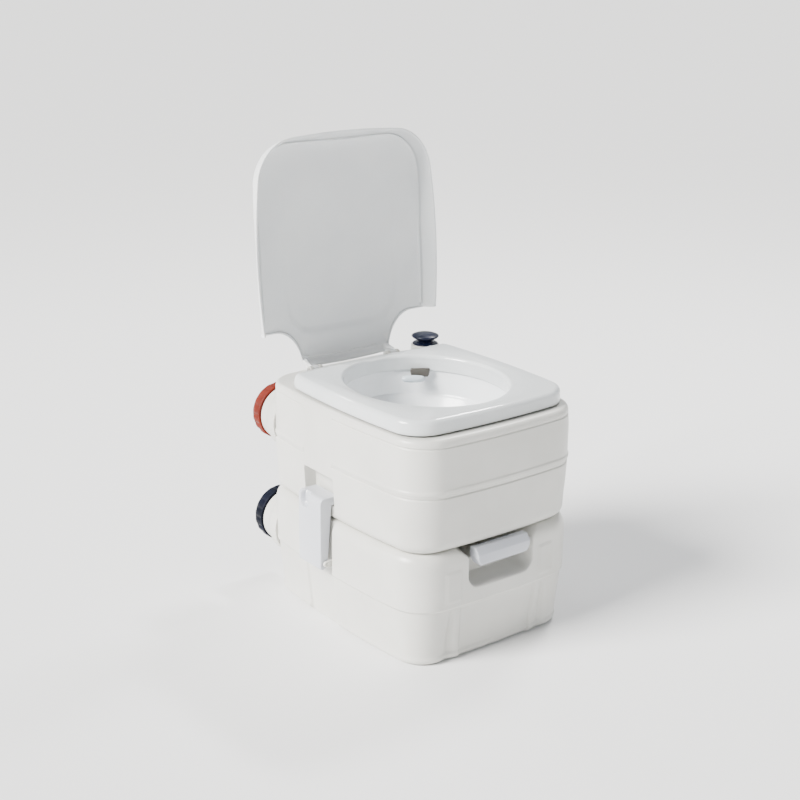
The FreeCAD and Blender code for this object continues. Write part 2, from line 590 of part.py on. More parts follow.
def front_pockets(name, grow):
    """The hand recess with its sloping floor, and the trough for the slide valve behind it."""
    profile = [("-230", f"recess_bottom - 6 - {grow}"),
               (f"recess_back + {grow}", f"recess_bottom + 20 - {grow}"),
               (f"recess_back + {grow}", "seam_height + 5"), ("-230", "seam_height + 5")]
    recess = polygon(name + "_recess", profile, (f"-recess_half_width - {grow}", "0", "0"),
                     f"2 * recess_half_width + 2 * {grow}", Rotation(Vector(1, 1, 1), 120))
    trough = block(name + "_trough",
                   (f"-trough_half_width - {grow}", "recess_back - 1", f"trough_floor - {grow}"),
                   (f"trough_half_width + {grow}", f"78 + {grow}", "seam_height + 5"))
    return [recess, trough]


def side_channel(name, side, grow):
    """The upright channel in the lower tank's side that holds a latch."""
    inner = f"channel_floor - {grow}"
    edges = (inner, "200") if side > 0 else ("-200", f"-({inner})")
    return block(name, (edges[0], f"latch_middle - channel_width / 2 - {grow}", "-5"),
                 (edges[1], f"latch_middle + channel_width / 2 + {grow}", "seam_height + 5"))


lower_neck, lower_bore = neck("waste_neck", "waste_height")
lower_cuts = front_pockets("front", "0") + [side_channel("channel_left", -1, "0"),
                                            side_channel("channel_right", 1, "0")]
lower_keep = front_pockets("front_keep", "wall") + [side_channel("channel_keep_left", -1, "wall"),
                                                    side_channel("channel_keep_right", 1, "wall")]
screw_places = [(side * 58, depth) for side in (-1, 1) for depth in (-108, -24, 56)]
bosses = [rod(f"screw_boss_{index}", "5.5", "12", (str(across), str(depth), "trough_floor - 13"))
          for index, (across, depth) in enumerate(screw_places)]
lower_cavity = cut("lower_tank_cavity", lower_inner, lower_keep + bosses)
lugs = []
lug_places = [(side, depth) for side in (-1, 1)
              for depth in ("latch_middle - latch_width / 2 - 6", "latch_middle + latch_width / 2 + 1")]
for index, (side, depth) in enumerate(lug_places):
    inner, outer = ("channel_floor - 1", "latch_pivot_offset")
    edges = (inner, outer) if side > 0 else (f"-({outer})", f"-({inner})")
    lugs.append(block(f"lug_{index}", (edges[0], depth, "latch_pivot_height - 6"),
                      (edges[1], f"{depth} + 5", "latch_pivot_height + 6")))
    lugs.append(rod(f"lug_round_{index}", "6", "5",
                    (f"{side} * latch_pivot_offset", depth, "latch_pivot_height"), ALONG_Y))
lower_solid = fuse("lower_solid", [lower_outer] + lower_neck)
lower_body = cut("lower_hollow", lower_solid, [lower_cavity] + lower_cuts)
lug_start = "latch_middle - channel_width / 2 - 5"
lug_holes = [rod(f"lug_hole_{side + 1}", "latch_pin_radius", "channel_width + 10",
                 (f"{side} * latch_pivot_offset", lug_start, "latch_pivot_height"), ALONG_Y)
             for side in (-1, 1)]
screw_holes = [rod(f"screw_hole_{index}", "2.05", "14", (str(across), str(depth), "trough_floor - 10"))
               for index, (across, depth) in enumerate(screw_places)]
node("lower_tank_shell", cut("lower_tank_shell", fuse("lower_with_lugs", [lower_body] + lugs),
                             lug_holes + screw_holes + [lower_bore, rod(
                                 "inlet_hole", "outlet_radius", "20", ("0", "0", "trough_floor - 10"))]))

# ---------------------------------------------------------------- side latches
for side, label in ((-1, "left"), (1, "right")):
    profile = [("latch_face - 2", "latch_bottom"), ("latch_face", "latch_bottom + 2"),
               ("latch_face", "latch_top - 6"), ("latch_face - 5", "latch_top"),
               ("catch_floor + 4", "latch_top"), ("catch_floor + 4", "sill_height + 0.4"),
               ("channel_floor + 2", "sill_height + 0.4"), ("channel_floor + 3", "sill_height - 14"),
               ("latch_pivot_offset - 5.5", "latch_pivot_height + 30"),
               ("latch_pivot_offset - 5.5", "latch_pivot_height - 4"), ("latch_face - 9", "latch_bottom")]
    corners = [(f"{side} * ({across})", up) for across, up in profile]
    slab = polygon(f"latch_slab_{label}", corners, ("0", "latch_middle + latch_width / 2", "0"),
                   "latch_width", Rotation(Vector(1, 0, 0), 90))
    scoop_x = "-latch_face - 6" if side < 0 else "latch_face - 6"
    scoop = block(f"latch_scoop_{label}", (scoop_x, "latch_middle + 2", "latch_top - 24"),
                  (f"{scoop_x} + 12", "latch_middle + 22", "latch_top + 1"))
    pivot = (f"{side} * latch_pivot_offset", "latch_middle - latch_width / 2 - 7", "latch_pivot_height")
    bore = rod(f"latch_bore_{label}", "latch_pin_radius + 0.06", "latch_width + 14", pivot, ALONG_Y)
    node(f"latch_{label}", cut(f"latch_{label}", slab, [scoop, bore]))
    pin = rod(f"latch_pin_{label}", "latch_pin_radius", "latch_width + 13", pivot, ALONG_Y)
    node(f"latch_pin_{label}", pin)

# ---------------------------------------------------------------- slide valve
PLATE_FRONT, PLATE_BACK = -120, 66
LOWER_PLATE, UPPER_PLATE = 5, 10
port = rod("valve_port", "outlet_radius", "60", ("0", "0", "trough_floor - 5"))


def plate(name, bottom, height):
    """A valve plate on the trough's floor."""
    return block(name, ("-64", str(PLATE_FRONT), f"trough_floor + {bottom}"),
                 ("64", str(PLATE_BACK), f"trough_floor + {bottom + height}"))


def plate_holes(name):
    """Clearance for the screws through a valve plate."""
    return [rod(f"{name}_{index}", "2.05", "40", (str(across), str(depth), "trough_floor - 10"))
            for index, (across, depth) in enumerate(screw_places)]


plate_split = f"trough_floor + {LOWER_PLATE}"
plates_top = f"trough_floor + {LOWER_PLATE + UPPER_PLATE}"
blade_way = block("blade_way", ("-blade_half_width - 0.4", str(PLATE_FRONT - 1), plate_split),
                  ("blade_half_width + 0.4", "62.5", f"{plate_split} + blade_thickness + 0.6"))
node("valve_lower_plate", cut("valve_lower_plate", plate("lower_plate", 0, LOWER_PLATE),
                              [port] + plate_holes("lower_plate_hole")))
node("valve_upper_plate", cut("valve_upper_plate", plate("upper_plate", LOWER_PLATE, UPPER_PLATE),
                              [port, blade_way] + plate_holes("upper_plate_hole")))
seal_ring = rod("lip_seal_ring", "outlet_radius + 6", "5", ("0", "0", plates_top))
node("valve_lip_seal", cut("valve_lip_seal", seal_ring, [
    rod("lip_seal_bore", "outlet_radius - 1", "20", ("0", "0", "trough_floor + 10"))]))
blade_level = f"trough_floor + {LOWER_PLATE + 0.2}"
blade_top = f"{blade_level} + blade_thickness"
node("valve_blade", fuse("valve_blade", [
    block("blade_sheet", ("-blade_half_width", "-58", blade_level), ("blade_half_width", "62", blade_top)),
    block("blade_tongue", ("-7.5", "-126", blade_level), ("7.5", "-57", blade_top))]))
rod_end = ("0", "-196", f"{blade_level} + blade_thickness / 2")
node("valve_rod", rod("valve_rod", "4", "70", rod_end, ALONG_Y))
handle_back = "handle_front + 21"
grip_profile = [("handle_front", "trough_floor"), ("handle_front + 3", "trough_floor - 2"),
                (handle_back, "trough_floor - 2"), (handle_back, "seam_height - 2"),
                ("handle_front + 7", "seam_height - 2"), ("handle_front", "seam_height - 9")]
grip = polygon("grip", grip_profile, ("-handle_half_width", "0", "0"), "2 * handle_half_width",
               Rotation(Vector(1, 1, 1), 120))
end_cuts = [polygon(f"grip_end_{side + 1}", [
    (f"{side} * (handle_half_width + 1)", "trough_floor - 4"),
    (f"{side} * (handle_half_width - 7)", "trough_floor - 4"),
    (f"{side} * (handle_half_width + 1)", "trough_floor + 12")], ("0", "-190", "0"), "30",
    Rotation(Vector(1, 0, 0), 90)) for side in (-1, 1)]
grip_hollow = block("grip_hollow", ("-handle_half_width + 9", "handle_front + 5", "trough_floor - 5"),
                    ("handle_half_width - 9", "handle_front + 17", "seam_height - 12"))
rod_socket = rod("rod_socket", "4", "40", rod_end, ALONG_Y)
node("valve_handle", cut("valve_handle", grip, end_cuts + [grip_hollow, rod_socket]))
screws = []
for index, (across, depth) in enumerate(screw_places):
    shank = rod(f"screw_shank_{index}", "2", f"{LOWER_PLATE + UPPER_PLATE + 9}",
                (str(across), str(depth), "trough_floor - 9"))
    head = rod(f"screw_head_{index}", "3.8", "2.4", (str(across), str(depth), plates_top))
    screws.append(fuse(f"valve_screw_{index}", [shank, head]))
screw_group = doc.addObject("Part::Compound", "valve_screws")
screw_group.Links = screws
node("valve_screws", screw_group)

# ---------------------------------------------------------------- check and write
doc.recompute()
for item in doc.Objects:
    if "Invalid" in item.State or "Error" in item.State:
        raise RuntimeError(f"{item.Label} failed: {item.State}")
for item in NODES:
    if item.Shape.isNull() or not item.Shape.isValid():
        raise RuntimeError(f"{item.Label} has no valid shape")
os.makedirs("parts", exist_ok=True)
for item in NODES:
    item.Shape.exportStep(f"parts/{item.Label}.step")
    print(item.Label, len(item.Shape.Solids), "solid(s)", round(item.Shape.Volume / 1000, 2), "cm3")
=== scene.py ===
# %% [markdown]
# # A portable camp toilet, surfaced in numpy
#
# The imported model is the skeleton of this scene: its bodies, joints and sizes are fixed.
# This lesson puts the looks around it. The tanks, seat, bowl, lid, caps, latches and handle are
# mouldings with soft edges and shallow details, so each becomes a surface worked out on a grid,
# and the small metal and rubber pieces keep their own meshes and only get a finish.

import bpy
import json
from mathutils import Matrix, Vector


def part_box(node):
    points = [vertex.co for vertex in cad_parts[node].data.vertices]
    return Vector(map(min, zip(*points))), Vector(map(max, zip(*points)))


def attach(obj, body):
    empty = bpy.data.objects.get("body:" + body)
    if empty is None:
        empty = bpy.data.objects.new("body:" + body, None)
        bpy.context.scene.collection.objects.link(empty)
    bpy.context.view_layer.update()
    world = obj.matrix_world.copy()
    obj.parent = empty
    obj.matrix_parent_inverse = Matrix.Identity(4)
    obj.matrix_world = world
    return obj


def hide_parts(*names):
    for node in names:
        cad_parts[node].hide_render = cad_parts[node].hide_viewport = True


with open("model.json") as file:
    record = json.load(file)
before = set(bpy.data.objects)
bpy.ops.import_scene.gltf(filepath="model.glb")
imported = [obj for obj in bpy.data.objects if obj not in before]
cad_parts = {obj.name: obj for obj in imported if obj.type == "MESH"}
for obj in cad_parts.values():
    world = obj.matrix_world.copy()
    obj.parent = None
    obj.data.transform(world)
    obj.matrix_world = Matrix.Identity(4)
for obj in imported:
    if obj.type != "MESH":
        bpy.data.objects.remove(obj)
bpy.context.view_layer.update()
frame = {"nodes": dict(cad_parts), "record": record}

import json
import bpy
import numpy as np
from mathutils import Matrix, Vector

# %% [markdown]
# ## Sizes from the frame
#
# A piece that replaces a node has to sit exactly where that node sits, because the node still does
# the work in the physics. So the driving sizes are read from the nodes' own boxes. Millimetres are
# the handy unit for a moulding of this size; the mesh maker at the end turns them into metres.

# %% Read the driving sizes


def box_mm(node):
    """The lowest and highest corner of a node, in millimetres."""
    low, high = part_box(node)
    return np.array(low) * 1000, np.array(high) * 1000


upper_low, upper_high = box_mm("upper_tank_shell")
seat_low, seat_high = box_mm("seat_top")
HALF_WIDTH = upper_high[0]
HALF_DEPTH = -upper_low[1]
SEAM = upper_low[2]
SEAT_TOP = seat_high[2]
SEAT_UNDER = SEAT_TOP - 23
DECK = SEAT_UNDER - 3
WALL = 3.2
SIDE_BOW = 1400.0
CORNER = 58.0
print("half width, half depth, seam, deck:", HALF_WIDTH, HALF_DEPTH, SEAM, DECK)

# %% [markdown]
# ## One mesh maker for every moulding
#
# Every moulding here is a closed skin. The simplest closed skin to compute is a pile of rings:
# each ring closes on itself, and the pile either bites its own tail, like a tyre, or is shut by
# a middle point at both ends, like a bottle. The signed volume tells whether the faces point out,
# and if it comes out negative all the faces are turned round at once.

# %% Rings become a closed mesh


def signed_volume(points, quads):
    """A sixth of the sum of a . (b x c) over the triangles of all quads."""
    a, b, c, d = (points[quads[:, corner]] for corner in range(4))
    return float(np.sum(a * np.cross(b, c)) + np.sum(a * np.cross(c, d))) / 6


def skin(name, rings, tyre=False, crease=50):
    """A closed mesh object from rings of points, an array of (ring, point, xyz) in millimetres."""
    count, around = rings.shape[:2]
    points = rings.reshape(-1, 3)
    index = np.arange(count * around).reshape(count, around)
    beside = np.roll(index, -1, axis=1)
    above = np.roll(index, -1, axis=0)
    far = np.roll(beside, -1, axis=0)
    quads = np.stack([index, beside, far, above], axis=-1)
    if not tyre:
        quads = quads[:-1]
    quads = quads.reshape(-1, 4)
    fans = np.zeros((0, 3), dtype=int)
    if not tyre:
        ends = np.stack([rings[0].mean(axis=0), rings[-1].mean(axis=0)])
        points = np.concatenate([points, ends])
        bottom, top = count * around, count * around + 1
        lower = np.stack([beside[0], index[0], np.full(around, bottom)], axis=-1)
        upper = np.stack([index[-1], beside[-1], np.full(around, top)], axis=-1)
        fans = np.concatenate([lower, upper])
    as_quads = np.concatenate([quads, np.concatenate([fans, fans[:, 2:]], axis=1)])
    if signed_volume(points - points.mean(axis=0), as_quads) < 0:
        quads, fans = quads[:, ::-1], fans[:, ::-1]
    mesh = bpy.data.meshes.new(name)
    mesh.from_pydata((points * 0.001).tolist(), [], quads.tolist() + fans.tolist())
    mesh.polygons.foreach_set("use_smooth", np.ones(len(mesh.polygons), dtype=bool))
    mesh.set_sharp_from_angle(angle=np.radians(crease))
    mesh.validate()
    piece = bpy.data.objects.new(name, mesh)
    bpy.context.collection.objects.link(piece)
    return piece


def dress(piece, finish, body, slot, *nodes):
    """Gives a piece its finish and the body it rides on, and hides the nodes it stands for. The slot
    argument is not used.
    """
    piece.data.materials.append(finish)
    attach(piece, body)
    if nodes:
        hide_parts(*nodes)
    print(f"{piece.name}: {len(piece.data.polygons)} faces on {body}")
    return piece


# %% [markdown]
# ## Outlines, soft steps and spacing
#
# The tanks and the seat share one plan shape: four sides with a gentle bow, joined by round
# corners. Naming a point by the way it faces (its turn) makes every inset of the outline line up
# with the next. A soft step is the one tool for pockets, beads and ledges: it is 0 before an edge,
# 1 after it, and smooth between, just as a blow mould rounds every edge.

# %% Plan shapes and soft steps


def bowed_outline(turn, half_x, half_y, corner, bow=SIDE_BOW):
    """Side arcs of radius bow centred on the axes, and corner arcs tangent to both, by facing angle."""
    off_x, off_y = half_x - bow, half_y - bow
    span = np.hypot(off_x, off_y)
    reach = np.sqrt((bow - corner) ** 2 - (span / 2) ** 2)
    mid_x = off_x / 2 - off_y / span * reach
    mid_y = off_y / 2 - off_x / span * reach
    facing = np.arctan2(np.abs(np.sin(turn)), np.abs(np.cos(turn)))
    on_side = facing < np.arctan2(mid_y, mid_x - off_x)
    on_end = facing > np.arctan2(mid_y - off_y, mid_x)
    cos, sin = np.cos(facing), np.sin(facing)
    x = np.where(on_side, off_x + bow * cos, np.where(on_end, bow * cos, mid_x + corner * cos))
    y = np.where(on_side, bow * sin, np.where(on_end, off_y + bow * sin, mid_y + corner * sin))
    return np.stack([x * np.sign(np.cos(turn)), y * np.sign(np.sin(turn))], axis=-1)


def oval(turn, half_x, half_y, centre=0.0):
    """An ellipse whose points face the given turn, moved along y by its centre."""
    cos, sin = np.cos(turn), np.sin(turn)
    size = np.hypot(half_x * cos, half_y * sin)
    return np.stack([half_x ** 2 * cos / size, half_y ** 2 * sin / size + centre], axis=-1)


def step(value, edge, soft):
    """0 before the edge and 1 after it, with a smooth slope as wide as soft."""
    part = np.clip((value - edge) / soft + 0.5, 0, 1)
    return part * part * (3 - 2 * part)


def window(value, low, high, soft):
    """1 between two edges and 0 outside, with smooth slopes."""
    return step(value, low, soft) * (1 - step(value, high, soft))


def spaced(count, line, busy=(), reach=5.0, boost=4.0, closed=True):
    """Parameters 0..1 that share out a line's length, gathered where it passes a busy place."""
    fine = np.linspace(0, 1, 24001)
    points = line(fine)
    middle = (points[1:] + points[:-1]) / 2
    weight = np.linalg.norm(np.diff(points, axis=0), axis=1)
    for place in busy:
        gap = np.linalg.norm(middle - np.array(place), axis=1)
        weight = weight * (1 + boost * np.exp(-((gap / reach) ** 2)))
    run = np.concatenate([[0], np.cumsum(weight)])
    return np.interp(np.linspace(0, run[-1], count, endpoint=not closed), run, fine)


def arc_rows(inset, height, radii, start, end, count):
    """Insets and heights along a quarter-round: outwards by cos, upwards by sin."""
    angle = np.radians(np.linspace(start, end, count))
    return inset - radii[0] * np.cos(angle), height + radii[1] * np.sin(angle)


def rings_at(plan, height):
    """Joins plan points (ring, point, xy) and one height per ring into rings of xyz."""
    height = np.broadcast_to(np.asarray(height, dtype=float).reshape(-1, 1), plan.shape[:2])
    return np.concatenate([plan, height[..., None]], axis=-1)


# %% [markdown]
# ## Finishes
#
# Nearly everything here is a thermoplastic, and the eye tells the pieces apart by gloss, tint and
# grain. Blow-moulded polyethylene has a waxy, slightly see-through depth and a faint orange peel;
# injection-moulded polypropylene is glossier and smoother. One helper adds a node with its
# settings and links; every finish is built from it.

# %% The node helper and colours


def linear(hex_colour):
    """An sRGB hex colour as linear red, green, blue and alpha."""
    parts = [int(hex_colour[start:start + 2], 16) / 255 for start in (1, 3, 5)]
    return [part / 12.92 if part <= 0.04045 else ((part + 0.055) / 1.055) ** 2.4 for part in parts] + [1.0]


def add(tree, kind, inputs=None, links=None, **settings):
    """One node with its settings, its input values, and links given as {input: (node, output)}."""
    node = tree.nodes.new(kind)
    for name, setting in settings.items():
        setattr(node, name, setting)
    for name, number in (inputs or {}).items():
        node.inputs[name].default_value = number
    for name, (source, output) in (links or {}).items():
        tree.links.new(source.outputs[output], node.inputs[name])
    return node


def moulded(name, light, dark, gloss, peel_mm, peel_depth_mm, shader=None, cloud_mm=90.0, scuff=0.06):
    """A moulded plastic: two near tints in slow clouds, an orange-peel bump and uneven gloss.

    The peel is a noise whose cells are peel_mm across and peel_depth_mm deep. The roughness wanders
    by scuff either side of its middle, as handled plastic does.
    """
    finish = bpy.data.materials.new(name)
    finish.use_nodes = True
    tree = finish.node_tree
    tree.nodes.clear()
    place = add(tree, "ShaderNodeTexCoord")
    cloud = add(tree, "ShaderNodeTexNoise", {"Scale": 1000 / cloud_mm, "Detail": 3.0, "Roughness": 0.5},
                {"Vector": (place, "Object")})
    ramp = add(tree, "ShaderNodeValToRGB", links={"Fac": (cloud, "Fac")})
    ramp.color_ramp.elements[0].position = 0.35
    ramp.color_ramp.elements[0].color = linear(dark)
    ramp.color_ramp.elements[1].position = 0.65
    ramp.color_ramp.elements[1].color = linear(light)
    wear = add(tree, "ShaderNodeTexNoise", {"Scale": 1000 / 14, "Detail": 5.0, "Roughness": 0.65},
               {"Vector": (place, "Object")})
    rough = add(tree, "ShaderNodeMapRange", {"To Min": gloss - scuff, "To Max": gloss + scuff},
                {"Value": (wear, "Fac")})
    peel = add(tree, "ShaderNodeTexNoise", {"Scale": 1000 / peel_mm, "Detail": 2.0, "Roughness": 0.5},
               {"Vector": (place, "Object")})
    bump = add(tree, "ShaderNodeBump", {"Strength": 1.0, "Distance": peel_depth_mm * 0.001},
               {"Height": (peel, "Fac")})
    body = add(tree, "ShaderNodeBsdfPrincipled", shader or {},
               {"Base Color": (ramp, "Color"), "Roughness": (rough, "Result"), "Normal": (bump, "Normal")})
    add(tree, "ShaderNodeOutputMaterial", links={"Surface": (body, "BSDF")})
    return finish


# %% [markdown]
# ## The finishes of this toilet
#
# The tanks are blow-moulded high-density polyethylene: waxy, satin, with a little light scattered
# under the skin and a peel of about three millimetres. The seat and bowl are injection-moulded
# polypropylene from a polished tool, so they carry sharp streaks of light. The bowl's tint is painted
# lighter than the seat's: painted light, making up for the light that barely reaches into the bowl.
# The lid is the same plastic with a satin tool finish. Latches and handle are a cooler, glossier white.

# %% Plastics
MILK = {"Subsurface Weight": 0.12, "Subsurface Radius": (1.0, 0.9, 0.8), "Subsurface Scale": 0.003}
blown_polyethylene = moulded("blow_moulded_polyethylene", "#D4D3CD", "#CDCCC6", 0.32, 3.2, 0.10,
                             {"IOR": 1.54, **MILK})
polished_polypropylene = moulded("polished_polypropylene", "#D4D7D8", "#CED2D3", 0.11, 5.0, 0.05,
                                 {"IOR": 1.50, "Coat Weight": 0.25, "Coat Roughness": 0.08, **MILK},
                                 scuff=0.04)
# The bowl is the seat's polypropylene with a lighter tint: painted light for the light that barely reaches
# into the bowl.
bowl_painted_light_polypropylene = moulded("bowl_painted_light_polypropylene", "#EBEDEF", "#E5E8EA", 0.18, 5.0, 0.05,
                             {"IOR": 1.50, **MILK}, scuff=0.04)
satin_polypropylene = moulded("satin_polypropylene", "#E4E6E6", "#DEE0E1", 0.32, 1.6, 0.05,
                              {"IOR": 1.50, **MILK})
cool_polypropylene = moulded("cool_white_polypropylene", "#C6C9D0", "#BFC2CA", 0.16, 2.4, 0.06,
                             {"IOR": 1.50, **MILK}, scuff=0.05)
brick_orange_plastic = moulded("brick_orange_polypropylene", "#6E1E0B", "#5A1607", 0.52, 1.2, 0.06,
                               {"IOR": 1.50, "Specular IOR Level": 0.2}, cloud_mm=30.0)
navy_plastic = moulded("navy_polypropylene", "#070B1C", "#050813", 0.50, 1.2, 0.06,
                       {"IOR": 1.50, "Specular IOR Level": 0.1}, cloud_mm=30.0)
knob_plastic = moulded("navy_knob_polypropylene", "#0C1533", "#080F24", 0.34, 1.4, 0.10,
                       {"IOR": 1.50, "Specular IOR Level": 0.35}, cloud_mm=18.0)
grey_plastic = moulded("grey_acetal", "#A9AEB0", "#9DA2A5", 0.34, 1.0, 0.04, {"IOR": 1.48})
pale_acetal = moulded("pale_translucent_polypropylene", "#C3CCD2", "#B4BDC4", 0.18, 1.6, 0.04,
                      {"IOR": 1.49, "Subsurface Weight": 0.4, "Subsurface Radius": (1.0, 1.0, 1.0),
                       "Subsurface Scale": 0.004})
dark_plastic = moulded("dark_glass_filled_nylon", "#4E4A44", "#403D38", 0.42, 0.8, 0.05, {"IOR": 1.53})
seal_rubber = moulded("moulded_nitrile_rubber", "#26272A", "#1C1D1F", 0.62, 0.6, 0.03, {"IOR": 1.52})
hose_plastic = moulded("extruded_vinyl_tube", "#C9CCC8", "#BFC3BF", 0.28, 0.8, 0.03,
                       {"IOR": 1.53, "Subsurface Weight": 0.5, "Subsurface Radius": (1.0, 1.0, 1.0),
                        "Subsurface Scale": 0.003})
stainless = moulded("turned_stainless_steel", "#C4C3C0", "#B2B1AE", 0.30, 0.5, 0.01,
                    {"Metallic": 1.0}, cloud_mm=6.0)
FINISH_OF_SLOT = {
    "tank_plastic": blown_polyethylene, "seat_plastic": polished_polypropylene,
    "lid_plastic": satin_polypropylene, "latch_plastic": cool_polypropylene,
    "filler_red": brick_orange_plastic, "navy_plastic": navy_plastic, "grey_plastic": grey_plastic,
    "dark_plastic": dark_plastic, "seal_rubber": seal_rubber, "hose_plastic": hose_plastic,
    "steel": stainless,
}
print("finishes:", len(FINISH_OF_SLOT))

# %% [markdown]
# ## The upper tank
#
# The flush-water tank is one blow-moulded shell. Its skin is a tyre of rings: from the outlet hole
# under it, out along the underside, up the side, in over the deck to the bowl's opening, and back
# through the inside one wall lower. Each row has an inset from the widest outline, a height, and
# a morph that turns the rounded rectangle into the oval of a hole. The latch pockets and the belt
# bead are soft steps pushed into the side afterwards, and the same push acts on the inner rows,
# so the wall keeps its thickness all round, as it does in a real blow moulding.

# %% Columns round the tanks, gathered at the latch pockets and the hand recess
latch_low, latch_high = box_mm("latch_left")
LATCH_MIDDLE = (latch_low[1] + latch_high[1]) / 2
POCKET_FRONT, POCKET_BACK = LATCH_MIDDLE - 39, LATCH_MIDDLE + 39
CHANNEL_FLOOR = HALF_WIDTH - 8
CATCH_FLOOR = HALF_WIDTH - 23
SILL = latch_high[2] - 14
CATCH_TOP = SILL + 47
POCKET_EDGES = [(side * HALF_WIDTH, place) for side in (-1, 1) for place in (POCKET_FRONT, POCKET_BACK)]


def tank_line(part):
    """The widest outline of the tanks as a line to share points out on."""
    return bowed_outline(part * 2 * np.pi, HALF_WIDTH, HALF_DEPTH, CORNER)


def tank_plan(turn, inset, morph, hole):
    """Rows of plan points: the outline drawn in by each inset, blended into a hole's oval by morph."""
    inset, morph = inset[:, None], morph[:, None, None]
    outer = bowed_outline(turn[None, :], HALF_WIDTH - inset, HALF_DEPTH - inset,
                          np.maximum(CORNER - inset, 6))
    return outer * (1 - morph) + oval(turn, *hole)[None] * morph


# %% Rows of the upper tank
BEAD = SEAM + 98.5
upper_busy = [(0.0, SILL), (0.0, CATCH_TOP), (0.0, BEAD - 9), (0.0, BEAD), (0.0, DECK - 13)]


def upright(low, high):
    """A vertical line between two heights, for spacing rows along it."""
    return lambda part: np.stack([part * 0, low + (high - low) * part], axis=-1)


def upper_side_inset(height):
    """Draft of the side: 4 mm narrower towards the seam, and a slow shoulder above the bead."""
    return 4 * (1 - step(height, SEAM + 54, 84)) + 1.6 * step(height, DECK - 22, 30)


def upper_rows(wall, fine):
    """Inset, height and hole morph from the outlet hole to the deck opening, one wall inside if asked."""
    underside = SEAM + wall
    deck = DECK - wall
    low = SEAM + 17
    ground = np.array([1.0, 0.8, 0.6, 0.4, 0.22, 0.1]) if fine else np.array([1.0, 0.5])
    round_in, round_up = arc_rows(22, low, (18, low - underside), -90, 0, 12 if fine else 5)
    share = spaced(130 if fine else 40, upright(low, DECK - 9), upper_busy, 3.5, 3.0, closed=False)
    heights = low + (DECK - 9 - low) * share
    inset = upper_side_inset(heights)
    top_in, top_up = arc_rows(inset[-1] + 7, DECK - 9, (7, deck - DECK + 9), 0, 90, 10 if fine else 5)
    over = np.linspace(0.12, 1, 9 if fine else 4)
    insets = np.concatenate([np.full(len(ground), 22.0), round_in, inset[1:], top_in[1:],
                             np.full(len(over), 9.0)])
    levels = np.concatenate([np.full(len(ground), underside), round_up, heights[1:], top_up[1:],
                             np.full(len(over), deck)])
    morph = np.concatenate([ground, np.zeros(len(round_in) + len(heights) + len(top_in) - 2), over])
    return insets + wall * (morph < 0.999), levels, morph


def upper_dents(points, wall):
    """Presses the latch pockets into the sides and raises the belt bead, by soft steps."""
    x, y, z = (points[..., axis] for axis in range(3))
    side = np.abs(x)
    along = window(y, POCKET_FRONT - wall, POCKET_BACK + wall, 4)
    slot = along * (1 - step(z, SILL + wall, 2.5))
    recess = along * step(z, SILL + wall, 2.5) * (1 - step(z, CATCH_TOP - 5 + wall, 13))
    press = slot * np.maximum(side - CHANNEL_FLOOR + wall, 0)
    press = press + recess * np.maximum(side - CATCH_FLOOR + wall, 0)
    on_side = step(side, 0.8 * HALF_WIDTH, 8) + step(np.abs(y), 0.8 * HALF_DEPTH, 8)
    relief = 1.5 * window(z, BEAD - 3, BEAD + 3, 3) - 1.6 * window(z, BEAD - 10, BEAD - 7, 2)
    relief = relief - 1.5 * window(z, DECK - 14, DECK - 11.5, 2)
    relief = relief * np.clip(on_side, 0, 1) * (1 - along)
    stretch = 1 + relief / np.maximum(np.hypot(x, y), 1)
    return np.stack([np.sign(x) * (side - press) * stretch, y * stretch, z], axis=-1)


# %% Build the upper tank
TANK_COLUMNS = 430
upper_turn = 2 * np.pi * spaced(TANK_COLUMNS, tank_line, POCKET_EDGES, 5.0, 3.0)
OUTLET_HOLE = (46.4, 46.4, 0.0)
deck_hole = (131.0, 147.0, -17.0)


def tank_skin(turn, rows, dents, low_hole, high_hole):
    """Outer rows up and inner rows back down: a thin wall that closes like a tyre."""
    layers = []
    for wall, fine in ((0.0, True), (WALL, False)):
        inset, level, morph = rows(wall, fine)
        half = len(level) // 2
        lower = tank_plan(turn, inset[:half], morph[:half], low_hole)
        upper = tank_plan(turn, inset[half:], morph[half:], high_hole)
        points = dents(rings_at(np.concatenate([lower, upper]), level), wall)
        layers.append(points if fine else points[::-1])
    return np.concatenate(layers)


upper_tank = skin("upper_tank_skin", tank_skin(upper_turn, upper_rows, upper_dents, OUTLET_HOLE, deck_hole),
                  tyre=True)
dress(upper_tank, blown_polyethylene, "tanks", "tank_plastic", "upper_tank_shell")

# %% [markdown]
# ## The lower tank
#
# The waste tank stands on the ground, so its rings close over a middle point under it, and again
# inside. Four things shape it: the channels for the latches, a step above the foot that leans in
# towards the ground, a hand recess in the front that the valve handle hangs in, and the trough for
# the slide valve on top. The recess isn't cut: the whole front skin is pushed back between two soft
# edges, which keeps the faces even where a cut would need a patch.

# %% Rows of the lower tank
STEP_HEIGHT = SEAM / 2 + 1.5
TROUGH_DROP = 29.0
PORT = (43.0, 43.0, 0.0)
RECESS_BACK = -HALF_DEPTH + 36
RECESS_HALF = 59.0
RECESS_SILL = 114.0


def lower_side_inset(height):
    """The foot leans in by 9.5 mm below a 3 mm step; the belt above it is upright."""
    foot = 3.0 + 9.5 * np.clip((STEP_HEIGHT - height) / STEP_HEIGHT, 0, 1)
    return foot * (1 - step(height, STEP_HEIGHT, 5))


